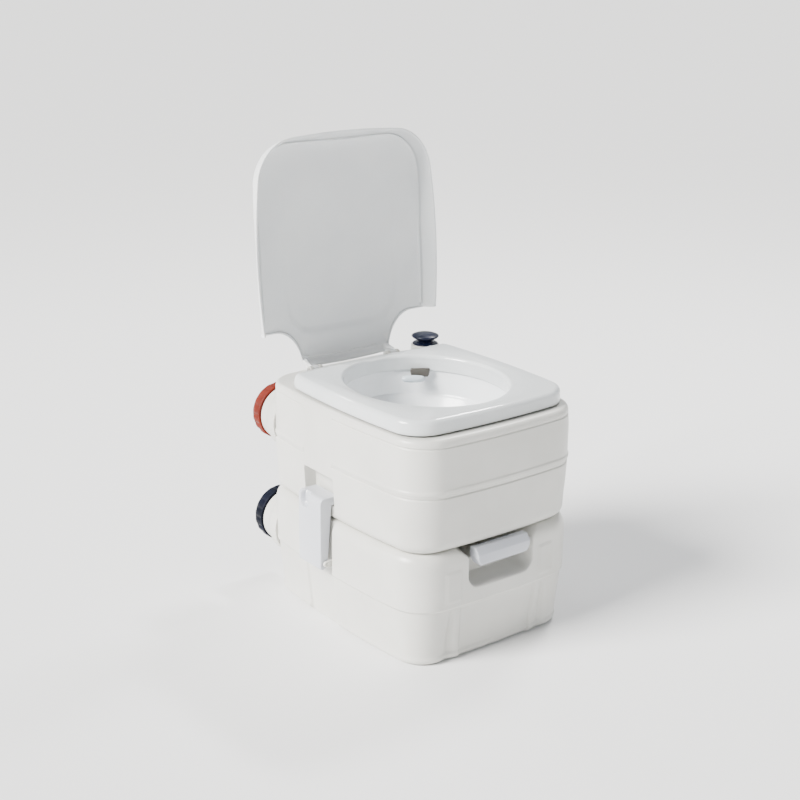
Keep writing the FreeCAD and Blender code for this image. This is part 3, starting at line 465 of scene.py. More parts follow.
def lower_rows(wall, fine):
    """Inset, height and morph from the middle of the base up the side and in to the valve port."""
    ground = np.linspace(1, 0.1, 7 if fine else 3)
    foot, brow = 11.0, SEAM - 20
    round_in, round_up = arc_rows(20.5, foot, (11, foot - wall), -90, 0, 11 if fine else 5)
    busy = [(0.0, STEP_HEIGHT), (0.0, RECESS_SILL + 8), (0.0, 88.0)]
    share = spaced(96 if fine else 28, upright(foot, brow), busy, 5.0, 2.0, closed=False)
    heights = foot + (brow - foot) * share
    inset = lower_side_inset(heights)
    top_in, top_up = arc_rows(inset[-1] + 15, brow, (15, 20 - wall), 0, 90, 16 if fine else 6)
    over = np.linspace(0.04, 1, 34 if fine else 20)
    insets = np.concatenate([np.full(len(ground), 22.0), round_in, inset[1:], top_in[1:],
                             np.full(len(over), 15.0)])
    levels = np.concatenate([np.full(len(ground), wall), round_up, heights[1:], top_up[1:],
                             np.full(len(over), SEAM - wall)])
    morph = np.concatenate([ground, np.zeros(len(round_in) + len(heights) + len(top_in) - 2), over])
    return insets + wall * (morph < 0.999), levels, morph


def lower_dents(points, wall):
    """Latch channels, foot panel, flutes and pads by soft steps; then the hand recess and the trough."""
    x, y, z = (points[..., axis] for axis in range(3))
    side = np.abs(x)
    along = window(y, POCKET_FRONT + 2 - wall, POCKET_BACK + wall, 5)
    foot = np.clip((87 - z) / 87, 0, 1)
    press = along * np.maximum(side - CHANNEL_FLOOR + 10 * foot + wall, 0)
    front = 1 - step(y, -HALF_DEPTH + 24, 10)
    low = 1 - step(z, 87, 3)
    panel = 3.2 * low * window(side, -99, 74 - 5 * foot - wall, 3)
    bell = np.exp(-(((side - 91) / (2.5 + 6.5 * foot)) ** 2))
    flute = (4.5 * (4 * foot * (1 - foot)) ** 0.6 + 1.5 * foot) * bell * low
    pad = 1.6 * window(z, 102, 150, 3) * window(side, 77, 104, 3)
    y = y + front * (panel + flute - pad)
    half = RECESS_HALF + wall + 16 * step(z, SEAM - 7, 16)
    over = np.hypot(np.maximum(side - half + 16, 0), np.maximum(RECESS_SILL + 23 - wall - z, 0)) - 16
    push = (1 - step(over, 0, 11)) * (1 - step(y, -125, 108))
    y = y + push * (RECESS_BACK + wall + HALF_DEPTH)
    trough_half = RECESS_HALF + wall + 9 * step(y, RECESS_BACK + 6, 8)
    sunk = (1 - step(side, trough_half, 6)) * (1 - step(y, 80 + wall, 6)) * step(y, -260, 2)
    z = z - sunk * TROUGH_DROP * np.clip((z - 140) / (SEAM - wall - 140), 0, 1)
    return np.stack([np.sign(x) * (side - press), y, z], axis=-1)


# %% Build the lower tank
recess_edges = [(side * (RECESS_HALF + 2), -HALF_DEPTH) for side in (-1, 1)]
front_edges = [(side * edge, -HALF_DEPTH) for side in (-1, 1) for edge in (71, 91)]
lower_busy = POCKET_EDGES + recess_edges * 2 + front_edges
lower_turn = 2 * np.pi * spaced(TANK_COLUMNS, tank_line, lower_busy, 6.0, 2.0)


def lower_skin():
    """Outer rows from the middle of the base up to the port, and inner rows back down to a middle point."""
    layers = []
    for wall, fine in ((0.0, True), (WALL, False)):
        inset, level, morph = lower_rows(wall, fine)
        half = len(level) // 2
        lower = tank_plan(lower_turn, inset[:half], morph[:half] * 0.995, (1e-3, 1e-3, 0.0))
        upper = tank_plan(lower_turn, inset[half:], morph[half:], PORT)
        points = lower_dents(rings_at(np.concatenate([lower, upper]), level), wall)
        layers.append(points if fine else points[::-1])
    return np.concatenate(layers)


lower_tank = skin("lower_tank_skin", lower_skin())
dress(lower_tank, blown_polyethylene, "tanks", "tank_plastic", "lower_tank_shell")

# %% [markdown]
# ## Necks, ears, lugs and the pump's boss
#
# The tanks carry a few turned and slab-sided lumps: the two threaded necks at the back, the ears
# for the lid's hinge, the lugs for the latches, and a boss for the pump. Turned lumps are a
# profile spun about an axis; slabs are a stack of rounded rectangles. Both are rings again.

# %% Turned pieces and slabs


def turned(profile, centre, axis, around=96, ripple=0, depth=0.0, where=(-1e9, 1e9)):
    """A profile of (radius, distance) spun about an axis; the radius ripples between two distances."""
    radius, along = np.array(profile, dtype=float).T
    angle = np.linspace(0, 2 * np.pi, around, endpoint=False)[None, :]
    wave = 1 - depth * (0.5 - 0.5 * np.cos(ripple * angle)) ** 2 * window(along, *where, 2.0)[:, None]
    radius = radius[:, None] * (wave if ripple else np.ones_like(wave))
    first, second = {"x": (1, 2), "y": (2, 0), "z": (0, 1)}[axis]
    points = np.zeros(radius.shape + (3,))
    points[..., first] = radius * np.cos(angle)
    points[..., second] = radius * np.sin(angle)
    points[..., "xyz".index(axis)] = along[:, None]
    return points + np.array(centre, dtype=float)


def rounded_profile(corners, radius, count=5):
    """A line through corners whose inner corners become arcs, each cut from its two runs."""
    corners = np.array(corners, dtype=float)
    line = [corners[:1]]
    for before, corner, after in zip(corners[:-2], corners[1:-1], corners[2:]):
        reach = min(radius, 0.45 * np.linalg.norm(before - corner), 0.45 * np.linalg.norm(after - corner))
        start = corner + (before - corner) / np.linalg.norm(before - corner) * reach
        end = corner + (after - corner) / np.linalg.norm(after - corner) * reach
        part = np.linspace(0, 1, count)[:, None]
        line.append((1 - part) ** 2 * start + 2 * part * (1 - part) * corner + part ** 2 * end)
    return np.concatenate(line + [corners[-1:]])


def loop_of(half_a, half_b, radius, around):
    """A rounded rectangle as a ring: corner arcs moved out to the corners, one row per size given."""
    turn = np.linspace(0, 2 * np.pi, around, endpoint=False) + 1e-4
    quarter = np.stack([np.sign(np.cos(turn)), np.sign(np.sin(turn))], axis=-1)
    arc = np.stack([np.cos(turn), np.sin(turn)], axis=-1)
    halves = np.stack([half_a, half_b], axis=-1)[:, None, :]
    radius = np.minimum(radius, halves.min(axis=-1, keepdims=True))
    return (halves - radius) * quarter + radius * arc


def slab(stations, half_a, half_b, radius, across_a, across_b, around=64, ends=2.0):
    """Rounded rectangles carried along stations, with both ends rounded over by a few millimetres."""
    stations = np.array(stations, dtype=float)
    half_a = np.broadcast_to(half_a, len(stations)).astype(float)
    half_b = np.broadcast_to(half_b, len(stations)).astype(float)
    ends = min(ends, 0.45 * np.linalg.norm(stations[1] - stations[0]))
    angle = np.radians(np.linspace(0, 90, 5))[:-1]
    draw, travel = ends * (1 - np.sin(angle)), ends * (1 - np.cos(angle))
    head = (stations[1] - stations[0]) / np.linalg.norm(stations[1] - stations[0])
    tail = (stations[-1] - stations[-2]) / np.linalg.norm(stations[-1] - stations[-2])
    first = stations[0] + travel[:, None] * head
    last = stations[-1] - travel[::-1, None] * tail
    middle = stations.copy()
    middle[0] = stations[0] + ends * head
    middle[-1] = stations[-1] - ends * tail
    spine = np.concatenate([first, middle, last])
    size_a = np.concatenate([half_a[0] - draw, half_a, half_a[-1] - draw[::-1]])
    size_b = np.concatenate([half_b[0] - draw, half_b, half_b[-1] - draw[::-1]])
    ring = loop_of(size_a, size_b, radius, around)
    frame_a, frame_b = np.array(across_a, dtype=float), np.array(across_b, dtype=float)
    return spine[:, None, :] + ring[..., :1] * frame_a + ring[..., 1:] * frame_b


# %% Threaded necks
THREAD_PITCH = 6.0


def neck_rings(cap_node):
    """A flared collar and a neck whose thread is a ridge that climbs one pitch a turn; bored through."""
    low, high = box_mm(cap_node)
    centre = ((low[0] + high[0]) / 2, 0.0, (low[2] + high[2]) / 2)
    mouth = high[1] - 7.2
    collar_end = low[1] - 2
    outside = rounded_profile([(52, 168), (52, 186), (46, 196), (44, 204), (44, collar_end),
                               (38, collar_end), (38, mouth), (33.5, mouth)], 2.4, 6)
    stretch = np.linspace(collar_end + 2.5, mouth - 2.5, 40)
    below = outside[outside[:, 1] <= collar_end + 0.3]
    above = outside[(outside[:, 1] >= mouth - 2.4)]
    bore = np.array([(33.5, mouth - 3), (33.5, 190), (33.5, 170)])
    profile = np.concatenate([below, np.stack([np.full(40, 38.0), stretch], axis=-1), above, bore])
    points = turned(profile, centre, "y")
    angle = np.linspace(0, 2 * np.pi, points.shape[1], endpoint=False)[None, :]
    along = profile[:, 1][:, None]
    phase = (along / THREAD_PITCH - angle / (2 * np.pi)) % 1
    ridge = 1.0 * np.exp(-(((phase - 0.5) / 0.16) ** 2)) * window(along, collar_end + 2, mouth - 2, 1.5)
    ridge = ridge * (profile[:, 0] > 36)[:, None]
    outward = points - np.array([centre[0], 0, centre[2]])
    outward[..., 1] = 0
    outward /= np.linalg.norm(outward, axis=-1, keepdims=True)
    return points + outward * ridge[..., None]


for cap_node, tank_node in (("filler_cap", "upper_tank_shell"), ("waste_cap", "lower_tank_shell")):
    neck = skin(cap_node.replace("cap", "neck"), neck_rings(cap_node), tyre=True)
    dress(neck, blown_polyethylene, "tanks", "tank_plastic", tank_node)

# %% Ears, lugs and the boss
pin_low, pin_high = box_mm("hinge_pin_left")
HINGE_Y, HINGE_Z = (pin_low[1] + pin_high[1]) / 2, (pin_low[2] + pin_high[2]) / 2
HINGE_X = 78.0
knob_low, knob_high = box_mm("pump_knob")
PUMP_X, PUMP_Y = (knob_low[0] + knob_high[0]) / 2, (knob_low[1] + knob_high[1]) / 2
latch_pin_low, latch_pin_high = box_mm("latch_pin_left")
LUG_X, LUG_Z = (latch_pin_low[0] + latch_pin_high[0]) / 2, (latch_pin_low[2] + latch_pin_high[2]) / 2


def tongue(start, thick, root, tip, radius, axis):
    """A flat ear: a root edge and a round tip about a pin, as thick as given along an axis."""
    angle = np.radians(np.linspace(-90, 90, 17))
    tip, root = np.array(tip, dtype=float), np.array(root, dtype=float)
    way = (tip - root) / np.linalg.norm(tip - root)
    side = np.array([way[1], -way[0]])
    nose = tip + radius * (np.cos(angle)[:, None] * way + np.sin(angle)[:, None] * side)
    outline = np.concatenate([[root - side * radius * 1.25], nose, [root + side * radius * 1.25]])
    middle = outline.mean(axis=0)
    depth = np.array([0, 0.08, 0.3, 0.7, thick - 0.7, thick - 0.3, thick - 0.08, thick])
    draw = np.array([0.7, 0.36, 0.12, 0, 0, 0.12, 0.36, 0.7])
    plan = middle + (outline - middle)[None] * (1 - draw / radius)[:, None, None]
    rings = np.zeros(plan.shape[:2] + (3,))
    free = [place for place in range(3) if place != axis]
    rings[..., free] = plan
    rings[..., axis] = start + depth[:, None]
    return rings


for side, label in ((-1, "left"), (1, "right")):
    for spot, offset in (("inner", -9), ("outer", 9)):
        rings = tongue(side * (HINGE_X + offset) - 3, 6, (HINGE_Y, DECK - 1), (HINGE_Y, HINGE_Z), 6, 0)
        ear = skin(f"hinge_ear_{label}_{spot}", rings, crease=35)
        dress(ear, blown_polyethylene, "tanks", "tank_plastic", "upper_tank_shell")
    for spot, start in (("front", latch_low[1] - 6), ("back", latch_high[1] + 1)):
        rings = tongue(start, 5, (side * (CHANNEL_FLOOR - 2), LUG_Z), (side * abs(LUG_X), LUG_Z), 4.6, 1)
        lug = skin(f"latch_lug_{label}_{spot}", rings, crease=35)
        dress(lug, blown_polyethylene, "tanks", "tank_plastic", "lower_tank_shell")

boss_top = SEAT_TOP - 7
boss_profile = rounded_profile([(30, DECK - 6), (30, DECK - 1), (24.6, DECK + 3), (24, boss_top),
                                (15.8, boss_top), (15.8, boss_top - 10)], 2.2, 6)
boss = skin("pump_boss", turned(boss_profile, (PUMP_X, PUMP_Y, 0), "z"), tyre=True)
dress(boss, blown_polyethylene, "tanks", "tank_plastic", "upper_tank_shell")

# %% Bore the deck for the pump rod
# A difference modifier cuts both layers of the deck at once and closes the wall between them.
bore_profile = [(0.01, DECK - 20), (12.4, DECK - 20), (12.4, DECK + 6), (0.01, DECK + 6)]
bore = skin("pump_bore", turned(bore_profile, (PUMP_X, PUMP_Y, 0), "z"))
cut = upper_tank.modifiers.new("pump_bore", "BOOLEAN")
cut.operation = "DIFFERENCE"
cut.solver = "EXACT"
cut.object = bore
bored = bpy.data.meshes.new_from_object(upper_tank.evaluated_get(bpy.context.evaluated_depsgraph_get()))
upper_tank.modifiers.clear()
upper_tank.data = bored
bpy.data.objects.remove(bore)
print("faces of the upper tank after the bore:", len(bored.polygons))

# %% [markdown]
# ## The seat
#
# The seat is a glossy injection moulding: a crowned ring with a rolled outer edge, a tight roll at
# the opening, and a skirt that hangs into the bowl. Its section is one closed row of
# points; every point knows its share between the outer outline and the opening's oval, so the same
# section goes all the way round while the plan changes from a rounded rectangle to an oval. The
# corner is scooped round the pump, and the back steps down to a shelf in front of the hinge.

# %% Build the seat
SEAT_HALF_X = seat_high[0]
SEAT_HALF_Y = (seat_high[1] - seat_low[1]) / 2
SEAT_MIDDLE = (seat_high[1] + seat_low[1]) / 2
SKIRT_BOTTOM = seat_low[2] + 4.5
HOLE_HALF_X, HOLE_HALF_Y, HOLE_MIDDLE = 122.0, 138.0, -17.0
SEAT_CORNER = 51.0
SHELF_START, SHELF_DROP = 122.0, 9.0


def seat_section():
    """Rows of (inset from the outline, growth of the oval, share towards the oval, height)."""
    top, under = SEAT_TOP, SEAT_UNDER
    edge_in, edge_up = arc_rows(9.5, top - 9, (9.0, 8.2), 0, 90, 12)
    share = np.linspace(0.04, 0.80, 13)
    crown = top - 0.8 + 0.9 * np.sin(np.pi * np.clip(share * 0.9, 0, 1)) - 1.4 * share ** 3
    lip_angle = np.radians(np.linspace(90, 0, 10))
    lip = np.stack([np.zeros(10), 5.5 - 5.5 * np.cos(lip_angle) - 0.2, np.ones(10),
                    top - 7.7 + 5.5 * np.sin(lip_angle)], axis=-1)
    wall_up = np.linspace(top - 10, SKIRT_BOTTOM + 1.2, 9)
    wall = np.stack([wall_up * 0, 0.2 + 1.4 * (top - 8 - wall_up) / 26, wall_up * 0 + 1, wall_up], axis=-1)
    hem = np.array([(0, 2.0, 1, SKIRT_BOTTOM + 0.2), (0, 2.6, 1, SKIRT_BOTTOM),
                    (0, 3.0, 1, SKIRT_BOTTOM + 0.5)])
    inside = np.array([(0, 3.0, 1, top - 12), (0, 5.0, 1, top - 6), (0, 5, 0.8, top - 5),
                       (8, 5, 0.25, top - 4.5), (9, 5, 0.06, top - 5), (4.2, 5, 0.0, top - 9),
                       (3.0, 5, 0, top - 14), (3.0, 5, 0, under + 0.6), (2.2, 5, 0, under),
                       (0.8, 5, 0, under)])
    outside = np.array([(0.1, 0, 0, under + 0.7), (0.2, 0, 0, under + 5), (0.4, 0, 0, top - 10)])
    edge = np.stack([edge_in, edge_in * 0, edge_in * 0, edge_up], axis=-1)
    face = np.stack([np.full(13, 10.0), np.full(13, 5.3), share, crown], axis=-1)
    return np.concatenate([outside, edge, face, lip, wall, hem, inside])


def seat_line(part):
    """The opening's oval and the outline averaged, so that both get their share of points."""
    turn = part * 2 * np.pi
    outer = bowed_outline(turn, SEAT_HALF_X, SEAT_HALF_Y, SEAT_CORNER)
    return (outer + oval(turn, HOLE_HALF_X, HOLE_HALF_Y)) / 2


def seat_rings():
    """The section carried round the plan, then pushed clear of the pump and down on the shelf."""
    inset, grow, share, height = seat_section().T
    turn = 2 * np.pi * spaced(360, seat_line)[None, :]
    outer = bowed_outline(turn, SEAT_HALF_X - inset[:, None], SEAT_HALF_Y - inset[:, None],
                          SEAT_CORNER - inset[:, None])
    outer[..., 1] += SEAT_MIDDLE
    inner = oval(turn, HOLE_HALF_X + grow[:, None], HOLE_HALF_Y + grow[:, None], HOLE_MIDDLE)
    plan = outer * (1 - share)[:, None, None] + inner * share[:, None, None]
    away = plan - np.array([PUMP_X, PUMP_Y])
    gap = np.linalg.norm(away, axis=-1, keepdims=True)
    clear = 26.0 + inset[:, None, None] * 0.8
    plan = np.array([PUMP_X, PUMP_Y]) + away * np.maximum(clear / gap, 1)
    points = rings_at(plan, height)
    upper_part = np.clip((points[..., 2] - SEAT_UNDER - 4) / 12, 0, 1)
    points[..., 2] -= SHELF_DROP * upper_part * step(points[..., 1], SHELF_START, 3)
    return points


seat = skin("seat_ring", seat_rings(), tyre=True)
dress(seat, polished_polypropylene, "tanks", "seat_plastic", "seat_top")

# %% [markdown]
# ## The bowl
#
# The bowl is a steep-walled oval down to a crease, then a shallower funnel to the outlet. The share
# of width left falls in a straight line to the crease and as a power of the drop below it.
# The middle of each oval slides back towards the outlet on nearly the same law.

# %% Build the bowl
bowl_low, bowl_high = box_mm("bowl")
OUTLET_RADIUS = 42.0
FUNNEL_TOP, FUNNEL_FOOT = DECK - 12, SEAM + 18
CREASE = 0.2


def bowl_oval(height, grow):
    """Half sizes and middle of the bowl's oval at a height."""
    drop = np.clip((FUNNEL_TOP - height) / (FUNNEL_TOP - FUNNEL_FOOT), 0, 1)
    below = np.clip((drop - CREASE) / (1 - CREASE), 0, 1)
    open_share = np.where(drop < CREASE, 1 - 0.2 * drop, (0.975 - 0.2 * CREASE) * (1 - below ** 1.08))
    return (OUTLET_RADIUS + 84 * open_share + grow, OUTLET_RADIUS + 100 * open_share + grow,
            HOLE_MIDDLE * (1 - drop ** 1.9))


BOWL_COLUMNS = 220


def bowl_rings():
    """Inner face from the rim down to the outlet, then the outer face back up to the flange."""
    rim = bowl_high[2]
    inner = np.concatenate([[rim, rim - 0.8], np.linspace(rim - 4, FUNNEL_FOOT, 72),
                            [190, 180, bowl_low[2] + 0.5]])
    outer = np.concatenate([[bowl_low[2], 185, 200, 208], np.linspace(214, DECK - 4, 26), [DECK - 1, DECK]])
    rows = [(height, 1.4 if height == rim else 0.0) for height in inner]
    rows += [(height, 4.0 if height < 213 else 3.0) for height in outer]
    rows += [(DECK + 0.2, 11.4), (DECK + 1.5, 12.0), (rim - 0.2, 11.4), (rim, 10.0)]
    height, grow = np.array(rows).T
    turn = np.linspace(0, 2 * np.pi, BOWL_COLUMNS, endpoint=False)[None, :]
    half_x, half_y, centre = (part[:, None] for part in bowl_oval(height, grow))
    return rings_at(oval(turn, half_x, half_y, centre), height)


bowl = skin("bowl_funnel", bowl_rings(), tyre=True)
# The bowl gets the lighter, painted-light tint in place of the light that barely reaches inside it.
dress(bowl, bowl_painted_light_polypropylene, "tanks", "seat_plastic", "bowl")

# %% [markdown]
# ## The lid
#
# The lid is a deep dish with a wide rim. Its two hinge-side corners are cut away to clear the pump,
# and along the cuts the tall rim shrinks to a low lip. In plan it is star-shaped about its middle, so
# one radius for every direction describes it: the smaller of the rim's radius and the cut-out's
# radius. The dish is drawn closed about the hinge axis and then swung open.

# %% Build the lid
lid_high = box_mm("lid")[1]
LID_HALF = lid_high[0]
LID_LENGTH = 376.0
LID_DEPTH = 28.0
LID_SWING = np.radians(94)
CUT_LENGTH, TONGUE_HALF, CUT_WIDTH = 65.0, 86.0, 50.0
LID_WALL = 2.5
CUT_ROUND = 2.5


def radius_at(way, line):
    """The distance to a star-shaped line of plan points in each direction, by interpolation."""
    angle = np.arctan2(line[:, 1], line[:, 0])
    order = np.argsort(angle)
    return np.interp(way, angle[order], np.hypot(*line[order].T), period=2 * np.pi)


def soft_least(first, second, soft):
    """The smaller of two lengths, with the change-over rounded."""
    return -soft * np.log(np.exp(-first / soft) + np.exp(-second / soft))


def lid_plan(way):
    """Radius of the rim, and of the cut-outs, in each direction from the lid's middle (0 = right)."""
    rim = bowed_outline(np.linspace(-np.pi, np.pi, 6001), LID_HALF + 1, LID_LENGTH / 2, 70.0)
    taper = 1 - 0.045 * np.clip((rim[:, 1] + 40) / 228, 0, 1) ** 2
    rim[:, 0] *= taper
    rim_radius = radius_at(way, rim)
    curve = np.radians(np.linspace(0, 90, 60))
    cut_x = TONGUE_HALF + CUT_WIDTH * (1 - np.cos(curve))
    cut_y = CUT_LENGTH * np.sin(curve) - LID_LENGTH / 2
    edge_x = np.linspace(cut_x[-1] + 4, 240, 40)
    cut = np.concatenate([np.stack([cut_x, cut_y], axis=-1),
                          np.stack([edge_x, np.full(40, cut_y[-1])], axis=-1)])
    cut_angle = np.arctan2(cut[:, 0], -cut[:, 1])
    off_axis = np.abs(np.arctan2(np.cos(way), -np.sin(way)))
    cut_radius = np.interp(off_axis, cut_angle, np.hypot(*cut.T), left=1000, right=1000)
    return rim_radius, cut_radius


def lid_line(part):
    """The lid's outline with its cut-outs, as a line to share points out on."""
    way = part * 2 * np.pi
    rim_radius, cut_radius = lid_plan(way)
    radius = soft_least(rim_radius, cut_radius, CUT_ROUND)
    return np.stack([radius * np.cos(way), radius * np.sin(way)], axis=-1)


def lid_rings():
    """Outer face from its middle to the edge, down the wall, round the rim, and back inside."""
    way = 2 * np.pi * spaced(420, lid_line)
    rim_radius, cut_radius = lid_plan(way)
    edge_radius = soft_least(rim_radius, cut_radius, CUT_ROUND)
    in_cut = step(rim_radius - edge_radius, 5, 9)
    at_hinge = (np.sin(way) < 0) * (1 - step(np.abs(np.cos(way) * edge_radius), TONGUE_HALF - 3, 8))
    flare = 13.0 + 4.0 * np.cos(way) ** 2 - 6.5 * (np.sin(way) > 0) * np.sin(2 * way) ** 2
    face_radius = soft_least(rim_radius - flare, cut_radius, CUT_ROUND)
    tall = (LID_DEPTH + 3) * (1 - in_cut) + 6 * in_cut
    tall = tall * (1 - at_hinge) + 13 * at_hinge
    lean = edge_radius + 1.5 * in_cut - face_radius
    down = np.concatenate([[0.0], 1 - np.cos(np.radians([15, 30, 45, 60, 75]))])
    rows = []

    def row(radius, depth):
        """One ring at a radius in the plan and a height above the rim's plane."""
        rows.append(np.stack([radius * np.cos(way), radius * np.sin(way), np.broadcast_to(depth, way.shape)],
                             axis=-1))

    spread = np.concatenate([np.linspace(0.04, 0.9, 30), [0.94, 0.965]])
    for share in spread:
        row(face_radius * share - 2 * share, LID_DEPTH)
    for angle in np.radians([20, 40, 60, 80]):
        row(face_radius - 5 + 6 * np.sin(angle), LID_DEPTH - 6 * (1 - np.cos(angle)) * (1 - 0.5 * in_cut))
    for share in np.linspace(0.2, 0.97, 10):
        row(face_radius + lean * share + 1.0 * np.sin(np.pi * share), LID_DEPTH - tall * share)
    row(edge_radius + 1.5 * in_cut + 0.6, LID_DEPTH - tall)
    row(edge_radius + 1.5 * in_cut - 0.8, LID_DEPTH - tall - 0.4)
    row(edge_radius + 1.5 * in_cut - 2.6, LID_DEPTH - tall)
    for share in np.linspace(0.94, 0.2, 10):
        row(face_radius - LID_WALL - 0.6 + lean * share + 1.0 * np.sin(np.pi * share),
            LID_DEPTH - tall * share)
    for angle in np.radians([80, 60, 40, 20]):
        row(face_radius - LID_WALL - 9 + 9 * np.sin(angle),
            LID_DEPTH - LID_WALL - 9 * (1 - np.cos(angle)) * np.clip(tall / 31, 0.2, 1))
    for share in spread[::-1]:
        row(face_radius * share - (LID_WALL + 9) * share, LID_DEPTH - LID_WALL)
    points = np.stack(rows)
    x, y, high = (points[..., axis] for axis in range(3))
    panel_x = np.abs(x) - (56 + 4 * step(y, 0, 200))
    panel_y = (-LID_LENGTH / 2 + 56 + 52) - y
    beyond = np.hypot(np.maximum(panel_x, 0), np.maximum(panel_y, 0)) - 52
    sunk = (1 - step(beyond, 0, 4.5)) * (1 - step(y, 70, 150)) * 2.6
    on_face = step(high, LID_DEPTH - 5, 3)
    bulge = 2.2 * (1 - (x / LID_HALF) ** 2) * (1 - (y / (LID_LENGTH / 2)) ** 2)
    return np.stack([x, y, high + (bulge - 2.2 + sunk) * on_face], axis=-1)


def swung_open(points):
    """Turns a lid drawn shut (x, distance from its middle, height) about the hinge axis."""
    x, y, high = (points[..., axis] for axis in range(3))
    ahead = -(y + LID_LENGTH / 2)
    cos, sin = np.cos(LID_SWING), np.sin(LID_SWING)
    return np.stack([x, HINGE_Y + ahead * cos + high * sin, HINGE_Z - ahead * sin + high * cos], axis=-1)


lid = skin("lid_dish", swung_open(lid_rings()), crease=60)
dress(lid, satin_polypropylene, "lid", "lid_plastic", "lid")

# %% Hinge knuckles of the lid
for side, label in ((-1, "left"), (1, "right")):
    drawn = tongue(side * HINGE_X - 5.5, 11, (-LID_LENGTH / 2, 19), (-LID_LENGTH / 2, 0), 5.5, 0)
    knuckle = skin(f"lid_knuckle_{label}", swung_open(drawn), crease=35)
    dress(knuckle, satin_polypropylene, "lid", "lid_plastic", "lid")

# %% [markdown]
# ## Caps, pump knob, latches and valve handle
#
# The small mouldings get the sharpest light, so they get the most careful edges. The caps are
# spun, with broad grip scallops as a ripple on the radius. The latch is a slab whose section is
# ruled between an outer and an inner line, with a thumb scoop pressed in at the top.

# %% Screw caps
CAP_BORE = 39.2


def closely(profile, gap):
    """A profile with more points along its straight runs, about one gap apart."""
    fine = [profile[:1]]
    for before, after in zip(profile[:-1], profile[1:]):
        count = max(1, int(np.linalg.norm(after - before) / gap))
        fine.append(before + (after - before) * np.linspace(0, 1, count + 1)[1:, None])
    return np.concatenate(fine)


def cap_rings(node):
    """A cup with a scalloped skirt, a rolled edge and a shallow dished face."""
    low, high = box_mm(node)
    centre = ((low[0] + high[0]) / 2, 0.0, (low[2] + high[2]) / 2)
    radius = (high[0] - low[0]) / 2
    start, end = low[1], high[1]
    profile = rounded_profile([
        (CAP_BORE, start + 6), (CAP_BORE, start + 0.8), (40.4, start), (radius - 1.2, start),
        (radius - 0.2, start + 1.5), (radius, start + 12), (radius - 0.8, end - 3.2), (radius - 4, end),
        (radius - 11, end), (radius - 13, end - 1.4), (8, end - 1.4), (1, end - 1.4)], 2.2, 6)
    inside = np.array([(1, end - 4), (38, end - 4), (CAP_BORE, end - 5.5)])
    profile = np.concatenate([closely(profile, 1.5), inside])
    return turned(profile, centre, "y", around=288, ripple=18, depth=0.045, where=(start + 2.2, end - 2.2))


for node, finish, slot in (("filler_cap", brick_orange_plastic, "filler_red"),
                           ("waste_cap", navy_plastic, "navy_plastic")):
    dress(skin(node + "_grip", cap_rings(node), tyre=True, crease=40), finish, node, slot, node)

# %% Pump knob and collar
knob_top = knob_high[2]
knob_radius = (knob_high[0] - knob_low[0]) / 2
knob_profile = rounded_profile([
    (0.6, knob_low[2]), (10.6, knob_low[2]), (11, knob_low[2] + 1), (11, knob_top - 13.2),
    (12.6, knob_top - 10.6), (20, knob_top - 8.6), (knob_radius, knob_top - 5.2),
    (knob_radius - 0.6, knob_top - 3.2), (knob_radius - 7, knob_top - 0.7), (9, knob_top - 0.1),
    (0.6, knob_top)], 3.5, 7)
knob = skin("pump_knob_cap", turned(knob_profile, (PUMP_X, PUMP_Y, 0), "z"))
dress(knob, knob_plastic, "pump", "navy_plastic", "pump_knob")
collar_low, collar_high = box_mm("pump_collar")
collar_profile = rounded_profile([
    (11.4, collar_low[2]), (21.5, collar_low[2]), (21.5, collar_low[2] + 1.8), (19, collar_low[2] + 2.6),
    (15.2, collar_low[2] + 2.8), (13.4, collar_high[2]), (11.4, collar_high[2])], 0.9, 5)
collar = skin("pump_collar_ring", turned(collar_profile, (PUMP_X, PUMP_Y, 0), "z"), tyre=True)
dress(collar, knob_plastic, "tanks", "navy_plastic", "pump_collar")

# %% Side latches
LATCH_AROUND = 48


